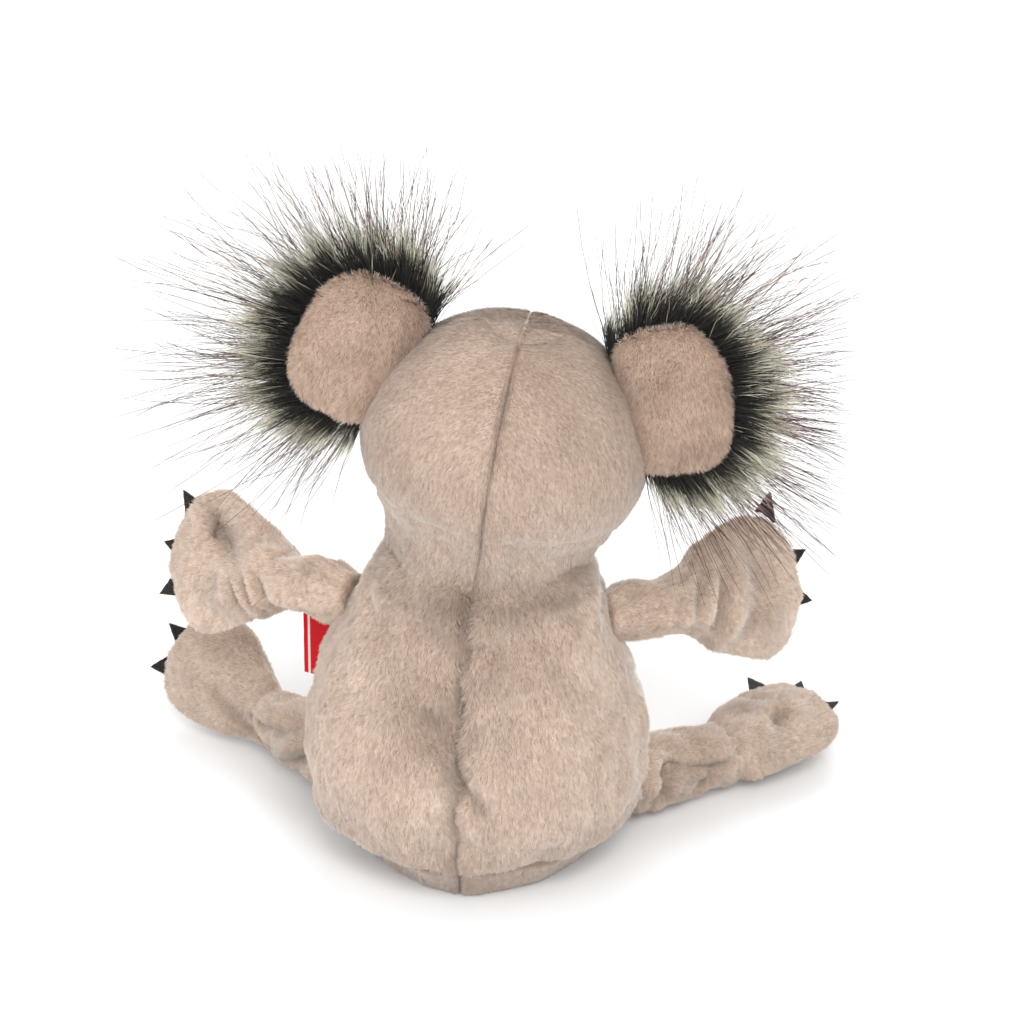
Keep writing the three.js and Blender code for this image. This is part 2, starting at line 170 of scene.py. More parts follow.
def softNoise(points, size, seed=0):
    # smooth random values from -1 to 1, the same ones each run
    cell = np.asarray(points, float) / size + seed * 17.31
    corner = np.floor(cell).astype(np.int64)
    part = cell - corner
    part = part * part * (3 - 2 * part)
    total = np.zeros(len(cell))
    for step in itertools.product((0, 1), repeat=3):
        key = corner + step
        mixed = (key[:, 0] * 73856093) ^ (key[:, 1] * 19349663) ^ (key[:, 2] * 83492791)
        mixed = (mixed * 2654435761) % 4294967296
        mixed = ((mixed ^ (mixed >> 15)) * 2246822519) % 4294967296
        weight = np.prod(np.where(step, part, 1 - part), axis=1)
        total += weight * (mixed ^ (mixed >> 13)) / 4294967296
    return total * 2 - 1


def curveThrough(points, count):
    # evenly numbered values along a smooth curve through a few chosen points
    knots = np.array(points, float)
    padded = np.vstack([2 * knots[0] - knots[1], knots, 2 * knots[-1] - knots[-2]])
    values = []
    for t in np.linspace(0, len(knots) - 1, count):
        i = min(int(t), len(knots) - 2)
        f = t - i
        a, b, c, d = padded[i : i + 4]
        values.append(b + 0.5 * f * (c - a + f * (2 * a - 5 * b + 4 * c - d + f * (3 * (b - c) + d - a))))
    return np.array(values)


def loftRings(name, segments, rings, closedStart=False, closedEnd=False):
    # rings of (along, half width, half depth), extruded one after another along Z
    deselectAll()
    along, wide, deepShade = rings[0]
    bpy.ops.mesh.primitive_circle_add(vertices=segments, radius=1, fill_type="NOTHING", location=(0, 0, 0))
    obj = bpy.context.object
    obj.name = name
    bpy.ops.object.mode_set(mode="EDIT")
    bpy.ops.mesh.select_all(action="SELECT")
    bpy.ops.transform.resize(value=(wide, deepShade, 1))
    bpy.ops.transform.translate(value=(0, 0, along))
    if closedStart:
        bpy.ops.mesh.edge_face_add()
        bpy.ops.mesh.poke()
        bpy.ops.mesh.select_all(action="SELECT")
        bpy.ops.mesh.region_to_loop()
    for lower, upper in zip(rings, rings[1:]):
        bpy.ops.mesh.extrude_edges_move(TRANSFORM_OT_translate={"value": (0, 0, upper[0] - lower[0])})
        bpy.ops.transform.resize(
            value=(upper[1] / lower[1], upper[2] / lower[2], 1), center_override=(0, 0, upper[0])
        )
    if closedEnd:
        bpy.ops.mesh.edge_face_add()
        bpy.ops.mesh.poke()
    bpy.ops.mesh.select_all(action="SELECT")
    bpy.ops.mesh.normals_make_consistent(inside=False)
    bpy.ops.object.mode_set(mode="OBJECT")
    return obj


def pushAlongNormals(obj, amounts):
    movePoints(obj, pointsOf(obj) + normalsOf(obj) * np.asarray(amounts)[:, None])


def bakeModifier(obj, modifier, last):
    scene = bpy.context.scene
    for step in range(1, last + 1):
        scene.frame_set(step)
    bpy.ops.object.modifier_apply(modifier=modifier.name)
    scene.frame_set(1)


def puffOut(obj, pins, pressure=4.0, slack=0.04, cap=0.006, last=20):
    # cloth simulation: the sewn lines in pins stay, and the fabric between them swells and puckers
    before = pointsOf(obj)
    group = obj.vertex_groups.new(name="sewn")
    for index, weight in enumerate(pins):
        if weight > 0:
            group.add([index], float(min(weight, 1)), "REPLACE")
    activate(obj)
    modifier = obj.modifiers.new("cloth", "CLOTH")
    cloth = modifier.settings
    cloth.quality = 6
    cloth.mass = 0.2
    cloth.air_damping = 2
    cloth.tension_stiffness = 12
    cloth.compression_stiffness = 12
    cloth.shear_stiffness = 4
    cloth.bending_stiffness = 0.15
    cloth.use_pressure = True
    cloth.uniform_pressure_force = pressure
    cloth.shrink_min = -slack
    cloth.vertex_group_mass = "sewn"
    cloth.effector_weights.gravity = 0
    modifier.collision_settings.use_self_collision = False
    modifier.point_cache.frame_end = last
    bakeModifier(obj, modifier, last)
    move = pointsOf(obj) - before
    length = np.linalg.norm(move, axis=1, keepdims=True)
    movePoints(obj, before + move * np.minimum(1, cap / np.maximum(length, 1e-9)))
    obj.vertex_groups.clear()


# ---- materials


def linear(red, green, blue):
    channels = [value / 255 for value in (red, green, blue)]
    return [c / 12.92 if c <= 0.04045 else ((c + 0.055) / 1.055) ** 2.4 for c in channels] + [1]


def newMaterial(name, roughness=0.9, sheen=0.0, sheenRoughness=0.5, coat=0.0):
    material = bpy.data.materials.new(name)
    material.use_nodes = True
    shader = material.node_tree.nodes["Principled BSDF"]
    shader.inputs["Roughness"].default_value = roughness
    shader.inputs["Sheen Weight"].default_value = sheen
    shader.inputs["Sheen Roughness"].default_value = sheenRoughness
    shader.inputs["Coat Weight"].default_value = coat
    shader.inputs["Specular IOR Level"].default_value = 0.2
    return material, material.node_tree, shader


def patternCoordinates(tree, scale):
    coordinates = tree.nodes.new("ShaderNodeTexCoord")
    mapping = tree.nodes.new("ShaderNodeMapping")
    mapping.inputs["Scale"].default_value = scale
    tree.links.new(coordinates.outputs["Object"], mapping.inputs["Vector"])
    return mapping.outputs["Vector"]


def noisePattern(tree, scale, size=1.0, detail=2.0):
    texture = tree.nodes.new("ShaderNodeTexNoise")
    texture.inputs["Scale"].default_value = size
    texture.inputs["Detail"].default_value = detail
    tree.links.new(patternCoordinates(tree, scale), texture.inputs["Vector"])
    return texture.outputs["Fac"]


def ramp(tree, source, stops):
    node = tree.nodes.new("ShaderNodeValToRGB")
    while len(node.color_ramp.elements) < len(stops):
        node.color_ramp.elements.new(0.5)
    for element, (place, color) in zip(node.color_ramp.elements, stops):
        element.position = place
        element.color = color
    tree.links.new(source, node.inputs["Fac"])
    return node.outputs["Color"]


def mixed(tree, kind, factor, first, second):
    node = tree.nodes.new("ShaderNodeMix")
    node.data_type = "RGBA"
    node.blend_type = kind
    for socket, value in ((node.inputs[0], factor), (node.inputs[6], first), (node.inputs[7], second)):
        if isinstance(value, (float, int)):
            socket.default_value = value
        elif isinstance(value, (list, tuple)):
            socket.default_value = value
        else:
            tree.links.new(value, socket)
    return node.outputs[2]


def attributeValue(tree, name):
    node = tree.nodes.new("ShaderNodeAttribute")
    node.attribute_name = name
    return node.outputs["Fac"]


def addBump(tree, shader, height, strength, distance):
    bump = tree.nodes.new("ShaderNodeBump")
    bump.inputs["Strength"].default_value = strength
    bump.inputs["Distance"].default_value = distance
    tree.links.new(height, bump.inputs["Height"])
    tree.links.new(bump.outputs["Normal"], shader.inputs["Normal"])


def plushMaterial(name, deepShade, middle, pale, streak=(620, 620, 240)):
    # short pile: painted shade darkens the roots between the tufts, pale at their tips, with brushed streaks and soft
    # patches; the tone attribute multiplies in random tone and painted shade
    material, tree, shader = newMaterial(name, 0.9, 0.45, 0.45)
    tip = attributeValue(tree, "tip")
    tone = attributeValue(tree, "tone")
    brushed = noisePattern(tree, streak, 1.0, 3.0)
    clumps = noisePattern(tree, (130, 130, 105), 1.0, 3.0)
    patches = noisePattern(tree, (36, 36, 30), 1.0, 2.0)
    colour = ramp(tree, tip, [(0.0, deepShade), (0.5, middle), (1.0, pale)])
    for source, low, high in (
        (tone, (0.30, 0.26, 0.25, 1), (1.12, 1.12, 1.12, 1)),
        (ramp(tree, brushed, [(0.3, (0, 0, 0, 1)), (0.7, (1, 1, 1, 1))]), (0.90, 0.89, 0.88, 1), (1.05, 1.05, 1.05, 1)),
        (ramp(tree, clumps, [(0.32, (0, 0, 0, 1)), (0.68, (1, 1, 1, 1))]), (0.96, 0.95, 0.94, 1), (1.05, 1.05, 1.05, 1)),
        (ramp(tree, patches, [(0.30, (0, 0, 0, 1)), (0.70, (1, 1, 1, 1))]), (0.90, 0.87, 0.86, 1), (1.06, 1.06, 1.06, 1)),
    ):
        colour = mixed(tree, "MULTIPLY", 1.0, colour, mixed(tree, "MIX", source, low, high))
    tree.links.new(colour, shader.inputs["Base Color"])
    addBump(tree, shader, brushed, 0.4, 0.0004)
    return material


# the first colour is the pile darkened by painted shade between the tufts; the other two are the pile itself
plushShadeAndColours = {
    "deepShade": linear(138, 114, 99),
    "middle": linear(207, 185, 167),
    "pale": linear(233, 215, 199),
}
plush = plushMaterial("greigePlush", plushShadeAndColours["deepShade"], plushShadeAndColours["middle"], plushShadeAndColours["pale"])
earPlush = plushMaterial("earPlush", linear(128, 102, 86), linear(190, 163, 144), linear(214, 191, 173))
bellyPlush = plushMaterial("bellyPlush", linear(168, 156, 142), linear(228, 219, 206), linear(244, 238, 228))


def furMaterial(name, stops, roughness):
    material, tree, shader = newMaterial(name, roughness, 0.0)
    shader.inputs["Specular IOR Level"].default_value = 0.4
    along = ramp(tree, attributeValue(tree, "tip"), stops)
    tone = ramp(tree, attributeValue(tree, "tone"), [(0, (0.72, 0.72, 0.74, 1)), (1, (1.2, 1.18, 1.14, 1))])
    toned = mixed(tree, "MULTIPLY", 1.0, along, tone)
    tree.links.new(toned, shader.inputs["Base Color"])
    return material


underFur = furMaterial("underFur", [
    (0.0, linear(18, 16, 15)), (0.40, linear(26, 24, 22)), (0.53, linear(84, 83, 70)),
    (0.66, linear(206, 203, 182)), (0.86, linear(246, 243, 230)), (1.0, linear(190, 170, 160))], 0.55)
guardFur = furMaterial("guardFur", [
    (0.0, linear(18, 15, 13)), (0.24, linear(34, 30, 27)), (0.34, linear(150, 146, 130)),
    (0.44, linear(170, 152, 140)), (0.54, linear(84, 48, 46)), (1.0, linear(24, 9, 11))], 0.45)


def clothMaterial(name, dark, light, threads=2600, roughness=0.9):
    # plain weave: two sets of fine threads with a little unevenness
    material, tree, shader = newMaterial(name, roughness, 0.1)
    coordinates = patternCoordinates(tree, (1, 1, 1))
    waves = []
    for direction in ("X", "Z"):
        wave = tree.nodes.new("ShaderNodeTexWave")
        wave.bands_direction = direction
        wave.inputs["Scale"].default_value = threads / 10
        wave.inputs["Distortion"].default_value = 1.2
        tree.links.new(coordinates, wave.inputs["Vector"])
        waves.append(wave.outputs["Color"])
    weave = mixed(tree, "MULTIPLY", 0.6, waves[0], waves[1])
    uneven = noisePattern(tree, (120, 120, 120), 1.0, 3.0)
    shaded = mixed(tree, "MIX", uneven, dark, light)
    tree.links.new(mixed(tree, "MULTIPLY", 0.25, shaded, weave), shader.inputs["Base Color"])
    addBump(tree, shader, weave, 0.3, 0.0002)
    return material


lining = clothMaterial("liningCloth", linear(206, 197, 186), linear(226, 219, 209))
bindingTape = clothMaterial("bindingTape", linear(196, 184, 170), linear(214, 205, 192), 3400)


def fluffMaterial(name, dark, light, scale, bump):
    material, tree, shader = newMaterial(name, 0.95, 0.3)
    uneven = noisePattern(tree, (scale, scale, scale), 1.0, 5.0)
    tree.links.new(ramp(tree, uneven, [(0.3, dark), (0.7, light)]), shader.inputs["Base Color"])
    addBump(tree, shader, uneven, 0.8, bump)
    return material


fibreFill = fluffMaterial("fibreFill", linear(214, 211, 205), linear(244, 243, 240), 260, 0.0012)
blackFelt = fluffMaterial("blackFelt", linear(14, 12, 12), linear(40, 34, 34), 2200, 0.0003)
noseCloth = fluffMaterial("noseCloth", linear(12, 10, 10), linear(32, 27, 26), 1500, 0.0002)
seamThread = clothMaterial("seamThread", linear(96, 74, 62), linear(128, 102, 86), 4000)


def glossMaterial(name, dark, light, roughness, coat):
    material, tree, shader = newMaterial(name, roughness, 0.0, 0.5, coat)
    shader.inputs["Specular IOR Level"].default_value = 0.5
    uneven = noisePattern(tree, (90, 90, 90), 1.0, 2.0)
    tree.links.new(ramp(tree, uneven, [(0.35, dark), (0.65, light)]), shader.inputs["Base Color"])
    addBump(tree, shader, uneven, 0.05, 0.0002)
    return material


eyeGloss = glossMaterial("eyeGloss", linear(8, 7, 7), linear(18, 13, 11), 0.1, 0.6)
washerPlastic = glossMaterial("washerPlastic", linear(222, 222, 216), linear(236, 236, 232), 0.4, 0.0)


def ribbonMaterial():
    # red woven tape with ribs across it and one thin pale woven line
    material, tree, shader = newMaterial("redRibbon", 0.6, 0.0)
    coordinates = patternCoordinates(tree, (1, 1, 1))
    ribs = tree.nodes.new("ShaderNodeTexWave")
    ribs.bands_direction = "Z"
    ribs.inputs["Scale"].default_value = 420
    tree.links.new(coordinates, ribs.inputs["Vector"])
    line = ramp(tree, attributeValue(tree, "tip"), [
        (0.0, (0, 0, 0, 1)), (0.10, (0, 0, 0, 1)), (0.12, (1, 1, 1, 1)), (0.15, (1, 1, 1, 1)), (0.17, (0, 0, 0, 1))])
    red = mixed(tree, "MULTIPLY", 0.3, linear(204, 2, 22), ribs.outputs["Color"])
    tree.links.new(mixed(tree, "MIX", line, red, linear(236, 214, 208)), shader.inputs["Base Color"])
    addBump(tree, shader, ribs.outputs["Color"], 0.4, 0.0002)
    return material


redRibbon = ribbonMaterial()


# ---- pile: short tufts set into a finished fabric


def trianglesOf(obj):
    obj.data.calc_loop_triangles()
    found = np.empty(len(obj.data.loop_triangles) * 3, np.int32)
    obj.data.loop_triangles.foreach_get("vertices", found)
    return found.reshape(-1, 3)


def meshFromArrays(obj, places, triangles, normals, tip, tone, material):
    # replaces the piece's mesh with these triangles, keeping its name
    mesh = bpy.data.meshes.new(obj.name)
    mesh.vertices.add(len(places))
    mesh.vertices.foreach_set("co", np.asarray(places, np.float32).ravel())
    mesh.loops.add(len(triangles) * 3)
    mesh.loops.foreach_set("vertex_index", np.asarray(triangles, np.int32).ravel())
    mesh.polygons.add(len(triangles))
    mesh.polygons.foreach_set("loop_start", np.arange(0, len(triangles) * 3, 3, dtype=np.int32))
    mesh.update(calc_edges=True)
    mesh.validate()
    mesh.polygons.foreach_set("use_smooth", np.ones(len(triangles), bool))
    for name, values in (("tip", tip), ("tone", tone)):
        attribute = mesh.attributes.new(name, "FLOAT", "POINT")
        attribute.data.foreach_set("value", np.asarray(values, np.float32))
    if normals is not None:
        mesh.normals_split_custom_set_from_vertices(np.asarray(normals, np.float32))
    old = obj.data
    obj.data = mesh
    bpy.data.meshes.remove(old)
    mesh.materials.append(material)
    return obj


def tuftArrays(skinPoints, skinNormals, skinTriangles, pile, comb, seed, shades):
    # one blade for each tuft, spread evenly over the skin and leaning along comb
    random = np.random.default_rng(seed)
    a, b, c = (skinPoints[skinTriangles[:, i]] for i in range(3))
    area = np.linalg.norm(np.cross(b - a, c - a), axis=1) / 2
    count = min(int(area.sum() * pile["perSquareMetre"]), pile["most"])
    face = random.choice(len(area), count, p=area / area.sum())
    u, v = random.random((2, count, 1))
    u, v = np.where(u + v > 1, 1 - u, u), np.where(u + v > 1, 1 - v, v)
    root = a[face] + u * (b[face] - a[face]) + v * (c[face] - a[face])
    na, nb, nc = (skinNormals[skinTriangles[face, i]] for i in range(3))
    normal = na * (1 - u - v) + nb * u + nc * v
    normal /= np.maximum(np.linalg.norm(normal, axis=1, keepdims=True), 1e-9)
    lie, stand, shade = comb(root)
    sa, sb, sc = (shades[skinTriangles[face, i]] for i in range(3))
    shade = shade * (sa * (1 - u - v)[:, 0] + sb * u[:, 0] + sc * v[:, 0])
    # neighbouring tufts cling together into strokes, lighter or darker than the next
    grain = root * [1, 1, 0.38]
    stroke = softNoise(grain, 0.00065, seed) + 0.45 * softNoise(grain, 0.0013, seed + 1)
    sway = np.stack([softNoise(grain, 0.0012, seed + 2 + i) for i in range(3)], axis=1)
    lie = lie + 0.35 * sway + pile["unruly"] * random.normal(size=lie.shape)
    lie -= normal * np.sum(lie * normal, axis=1, keepdims=True)
    lie /= np.maximum(np.linalg.norm(lie, axis=1, keepdims=True), 1e-9)
    across = np.cross(normal, lie)
    lean = pile["lean"] * (1 - 0.5 * stand) - 0.12 * stroke + 0.08 * random.normal(size=count)
    length = pile["length"] * (0.8 + 0.4 * random.random(count)) * (1 + pile["ruffle"] * stand) * (1 + 0.25 * stroke)
    tip = root + (normal * np.cos(lean)[:, None] + lie * np.sin(lean)[:, None]) * length[:, None]
    width = across * (pile["width"] * (0.35 + 0.3 * random.random((count, 1))))
    sunk = root - normal * pile["length"] * 0.08
    places = np.stack([sunk + width, sunk - width, tip], axis=1).reshape(-1, 3)
    places[:, 2] = np.maximum(places[:, 2], 0.0002)
    triangles = np.arange(count * 3).reshape(-1, 3)
    shading = np.stack([normal + width * 900, normal - width * 900, normal * 0.9 + lie * 0.3], axis=1).reshape(-1, 3)
    shading /= np.linalg.norm(shading, axis=1, keepdims=True)
    # tip runs from 0.2 at the root, coloured as painted shade between the tufts, to 1 at the pale tip; tone multiplies
    # random tone and stroke with the painted shade from comb
    along = np.tile([0.2, 0.2, 1.0], count)
    tone = np.repeat((0.74 + 0.22 * random.random(count)) * (1 + 0.26 * stroke) * shade, 3)
    return places, triangles, shading, along, tone, count


def setPile(obj, outer, material, pile, comb, seed, shades=None):
    # obj is the finished fabric with its thickness; outer holds its outer skin as arrays
    skinPoints, skinNormals, skinTriangles = outer
    shades = np.ones(len(skinPoints)) if shades is None else shades
    tufts = tuftArrays(skinPoints, skinNormals, skinTriangles, pile, comb, seed, shades)
    fabric = pointsOf(obj)
    triangles = np.vstack([trianglesOf(obj), tufts[1] + len(fabric)])
    places = np.vstack([fabric, tufts[0]])
    normals = np.vstack([normalsOf(obj), tufts[2]])
    # the fabric under the pile is darkened by painted shade between the tufts, and takes 0.8 of the painted shade from
    # comb
    tip = np.concatenate([np.full(len(fabric), 0.35), tufts[3]])
    tone = np.concatenate([0.8 * comb(fabric)[2], tufts[4]])
    meshFromArrays(obj, places, triangles, normals, tip, tone, material)
    print("pile", obj.name, tufts[5], "tufts,", len(triangles), "triangles")


def skinArrays(obj):
    return pointsOf(obj), normalsOf(obj), trianglesOf(obj)


# ---- panels: a form cut into its sewn panels


def panelFaces(obj, choose):
    # numbers each face by the panel it belongs to
    attribute = obj.data.attributes.new("panel", "INT", "FACE")
    for face in obj.data.polygons:
        attribute.data[face.index].value = choose(face.center)


def seamPoints(obj):
    # 1 for each point where two panels meet
    panel = obj.data.attributes["panel"].data
    seen = [set() for _ in obj.data.vertices]
    for face in obj.data.polygons:
        for index in face.vertices:
            seen[index].add(panel[face.index].value)
    return np.array([len(found) > 1 for found in seen], float)


def cutPanels(obj, names):
    panels = []
    for number, name in enumerate(names[:-1]):
        activate(obj)
        chosen = obj.data.attributes["panel"].data
        picked = [item.value == number for item in chosen]
        for item, mesh in ((obj.data.vertices, "v"), (obj.data.edges, "e"), (obj.data.polygons, "p")):
            item.foreach_set("select", np.zeros(len(item), bool))
        obj.data.polygons.foreach_set("select", picked)
        bpy.ops.object.mode_set(mode="EDIT")
        bpy.ops.mesh.select_mode(type="FACE")
        bpy.ops.mesh.separate(type="SELECTED")
        bpy.ops.object.mode_set(mode="OBJECT")
        panel = [other for other in bpy.context.selected_objects if other is not obj][0]
        panel.name = name
        panels.append(panel)
    obj.name = names[-1]
    return panels + [obj]


# ---- torso

torso = {
    # (height, half width) of the pear
    "profile": [(0.0, 0.0455), (0.0070, 0.0507), (0.0120, 0.0546), (0.0152, 0.0573), (0.0190, 0.0604), (0.0270, 0.0643), (0.044, 0.0672), (0.063, 0.0657), (0.0825, 0.0594), (0.106, 0.0500), (0.121, 0.0440), (0.1285, 0.0404), (0.1325, 0.0372)],
    "depthShare": 0.88,
    "segments": 112,
    "rings": 61,
    "crowding": 0.55,
    "wall": 0.0020,
    "seamDepth": 0.0018,
    "seamWidth": 0.0016,
    "hemHeight": 0.0152,
    "hemGroove": 0.0028,
    "sideSeamAngle": -7.5,
    "neckTilt": 0.09,
}
torsoPile = {"perSquareMetre": 9.0e6, "most": 150000, "length": 0.0024, "lean": 1.18, "width": 0.00048, "ruffle": 0.6, "unruly": 0.20}


def torsoFold(x, z, start, end, width):
    # nearness, from 0 to 1, to a fold line on the back between two places (x, height)
    p = np.stack([x, z], axis=1)
    a, b = np.array(start), np.array(end)
    t = np.clip(((p - a) @ (b - a)) / ((b - a) @ (b - a)), 0, 1)
    gap = np.linalg.norm(p - (a + t[:, None] * (b - a)), axis=1)
    return np.exp(-((gap / width) ** 2)) * np.sin(np.clip(t, 0.04, 0.96) * math.pi) ** 0.5


# (start, end, width, depth): pulls in the back's plush, as x and height
torsoFolds = [
    ((-0.001, 0.063), (-0.012, 0.043), 0.0048, 0.0062),
    ((0.001, 0.070), (0.016, 0.089), 0.0056, 0.0050),
    ((0.002, 0.050), (0.013, 0.034), 0.0070, 0.0014),
    ((-0.003, 0.082), (-0.026, 0.074), 0.0060, 0.0026),
    ((-0.003, 0.112), (-0.030, 0.109), 0.0040, 0.0022),
    ((-0.010, 0.121), (-0.036, 0.119), 0.0050, 0.0020),
    ((0.006, 0.111), (0.026, 0.122), 0.0070, 0.0020),
    ((0.014, 0.100), (0.036, 0.094), 0.0070, 0.0016),
    ((-0.030, 0.106), (-0.042, 0.084), 0.0070, 0.0016),
    ((0.032, 0.116), (0.041, 0.096), 0.0050, 0.0016),
    ((-0.004, 0.034), (-0.020, 0.024), 0.0060, 0.0010),
    ((0.020, 0.017), (0.044, 0.026), 0.0040, 0.0012),
]


def torsoForm():
    knots = [(z, w) for z, w in torso["profile"]]
    rings = [(z, w, w * torso["depthShare"]) for z, w in curveThrough(knots, torso["rings"])]
    form = loftRings("torsoForm", torso["segments"], rings)
    places = pointsOf(form)
    # more of the mesh near the back seam, and the hem drawn in to a blunt point there
    share = torso["depthShare"]
    reach = np.hypot(places[:, 0], places[:, 1] / share)
    turn = np.arctan2(places[:, 0], places[:, 1] / share)
    turn -= torso["crowding"] * np.sin(turn)
    low = 1 - smoothStep(places[:, 2], 0.004, 0.034)
    behind = smoothStep(np.cos(turn), 0.0, 0.5)
    places[:, 0] = reach * np.sin(turn) * (1 - 0.05 * low * behind)
    places[:, 1] = reach * np.cos(turn) * share
    rise = smoothStep(places[:, 2], 0.080, 0.128)
    places[:, 0] += rise * (neck.x - base.x)
    places[:, 2] += rise * torso["neckTilt"] * places[:, 1]
    places += np.array(base)
    movePoints(form, places)
    return form


def torsoPanel(center):
    x, y = center.x - base.x, center.y - base.y
    if math.degrees(math.atan2(y, abs(x))) < torso["sideSeamAngle"]:
        return 2
    return 0 if x > 0 else 1


def seamWander(z):
    return 0.0010 * softNoise(np.stack([z * 0, z * 0, z], axis=1), 0.008, 14)


def inTorso(places):
    # x and y from the middle of the body, which leans to the neck's side at the top
    rise = smoothStep(places[:, 2], 0.080, 0.128)
    return places[:, 0] - base.x - rise * (neck.x - base.x), places[:, 1] - base.y


def torsoSkin():
    form = torsoForm()
    panelFaces(form, torsoPanel)
    seam = seamPoints(form)
    places = pointsOf(form)
    x, y = inTorso(places)
    z = places[:, 2]
    backSeam = seam * (y > 0) * smoothStep(z, -0.004, 0.004)
    pushAlongNormals(form, -0.0012 * backSeam - 0.0012 * seam)
    collar = smoothStep(z, 0.122, 0.127)
    hem = 1 - smoothStep(z, 0.004, 0.017)
    holes = np.zeros(len(z))
    for side in sides:
        for name in (f"arm_{side}_swing", f"leg_{side}_swing"):
            gap = np.linalg.norm(places - np.array(pivotOf(name)), axis=1)
            holes = np.maximum(holes, 1 - smoothStep(gap, 0.014, 0.022))
    puffOut(form, np.maximum.reduce([seam, collar, hem, holes]), pressure=3, slack=0.035, cap=0.0028)
    finishWith(form, "SUBSURF", levels=1, render_levels=1)
    places = pointsOf(form)
    x, y = inTorso(places)
    z = places[:, 2]
    back = smoothStep(y, 0.0, 0.02)
    wander = x - seamWander(z)
    nearSeam = np.exp(-((wander / torso["seamWidth"]) ** 2)) * back
    valley = np.exp(-((wander / 0.0065) ** 2)) * back
    besideSeam = np.exp(-(((np.abs(wander) - 0.0062) / 0.0045) ** 2)) * back
    pucker = softNoise(np.stack([np.sign(x) * 0.01, y * 0, z], axis=1), 0.0055, 3)
    pull = np.exp(-(((z - 0.052) / 0.014) ** 2))
    push = -torso["seamDepth"] * nearSeam - valley * (0.0006 + 0.0022 * pull)
    push += besideSeam * (0.0004 + 0.0011 * pucker)
    groove = np.exp(-(((z - torso["hemHeight"] - 0.0008 * softNoise(places, 0.02, 4)) / 0.0015) ** 2))
    push -= torso["hemGroove"] * groove * (1 + 0.4 * softNoise(places, 0.006, 5))
    push += 0.0014 * np.exp(-(((z - 0.0205) / 0.0045) ** 2)) * (0.7 + 0.8 * softNoise(places, 0.012, 9))
    push += 0.0012 * np.exp(-(((z - 0.006) / 0.007) ** 2)) * softNoise(places, 0.018, 6)
    side = np.exp(-((np.degrees(np.arctan2(y, np.abs(x))) - torso["sideSeamAngle"]) / 2.2) ** 2)
    push -= 0.0014 * side
    for start, end, width, depth in torsoFolds:
        near = torsoFold(x, z, start, end, width) * back
        push -= depth * near
        near = torsoFold(x - 2.2 * width, z - 0.4 * width, start, end, width) * back
        push += 0.35 * depth * near
    push += 0.0014 * softNoise(places, 0.024, 7) + 0.0006 * softNoise(places, 0.009, 8)
    lower = 1 - smoothStep(z, 0.0, 0.006)
    push *= 1 - 0.6 * lower
    pushAlongNormals(form, push)
    places = pointsOf(form)
    x, y = inTorso(places)
    sag = np.exp(-((x / 0.024) ** 2)) * smoothStep(y, 0.02, 0.04) * (1 - smoothStep(places[:, 2], 0.0, 0.03))
    places[:, 1] += 0.0035 * sag
    places[:, 2] = np.maximum(places[:, 2], 0.0006)
    movePoints(form, places)
    return form


def torsoComb(root):
    x, y = inTorso(root)
    z = root[:, 2]
    fromSeam = x - seamWander(z)
    lie = np.zeros_like(root)
    lie[:, 2] = -1
    lie[:, 0] = 0.35 * softNoise(root, 0.025, 11) - 0.8 * np.sign(fromSeam) * np.exp(-((fromSeam / 0.004) ** 2))
    nearSeam = np.exp(-((fromSeam / 0.006) ** 2)) * (y > 0)
    crease = smoothStep(z - 0.09 * y, 0.119, 0.126)
    ruff = np.exp(-(((z - 0.125) / 0.005) ** 2)) * (y > 0.02)
    stand = np.clip(0.60 * nearSeam + 0.35 * crease + 0.5 * ruff + 0.35 * softNoise(root, 0.007, 12), 0, 1)
    # painted shade: a dark line in the back seam, in the hem groove, in the folds and in the neck crease; the upper
    # middle of the back is darker than the lit flanks, and the back darker towards the bottom
    line = np.exp(-((fromSeam / 0.0008) ** 2)) * (y > 0)
    hemGrooveShade = np.exp(-(((z - torso["hemHeight"]) / 0.0012) ** 2))
    deepShade = np.zeros(len(z))
    for start, end, width, depth in torsoFolds:
        deepShade = np.maximum(deepShade, torsoFold(x, z, start, end, width * 0.7) * depth / 0.005 * (y > 0))
    middle = np.exp(-((x / 0.034) ** 2)) * smoothStep(z, 0.050, 0.088) * (y > 0)
    middle *= 0.75 + 0.5 * softNoise(root, 0.020, 13)
    shade = (1 - 0.45 * line) * (1 - 0.45 * hemGrooveShade) * (1 - 0.32 * deepShade) * (1 - 0.46 * middle)
    shade *= (1 - 0.30 * (1 - smoothStep(z, 0.010, 0.042))) * (1 - 0.22 * crease)
    return lie, stand, shade


def finishPanel(panel, node, material, pile, comb, seed, wall, bodies, span=None):
    outer = skinArrays(panel)
    finishWith(panel, "SOLIDIFY", thickness=wall, offset=-1)
    setPile(panel, outer, material, pile, comb, seed)
    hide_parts(node)
    if span:
        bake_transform(panel)
    else:
        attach(panel, bodies[0])
    return panel


def makeTorso():
    form = torsoSkin()
    panels = cutPanels(form, ["backPanelLeft", "backPanelRight", "bellyPanel"])
    nodes = ["torso_back_left", "torso_back_right", "belly_panel"]
    finishes = [plush, plush, bellyPlush]
    low, high = neck + Vector((0, 0, -0.014)), neck + Vector((0, 0, 0.005))
    for number, (panel, node, finish) in enumerate(zip(panels, nodes, finishes)):
        finishPanel(panel, node, finish, torsoPile, torsoComb, 20 + number, torso["wall"], ("torso", "pocket"), (low, high))
    print("torso done")


makeTorso()


# ---- head

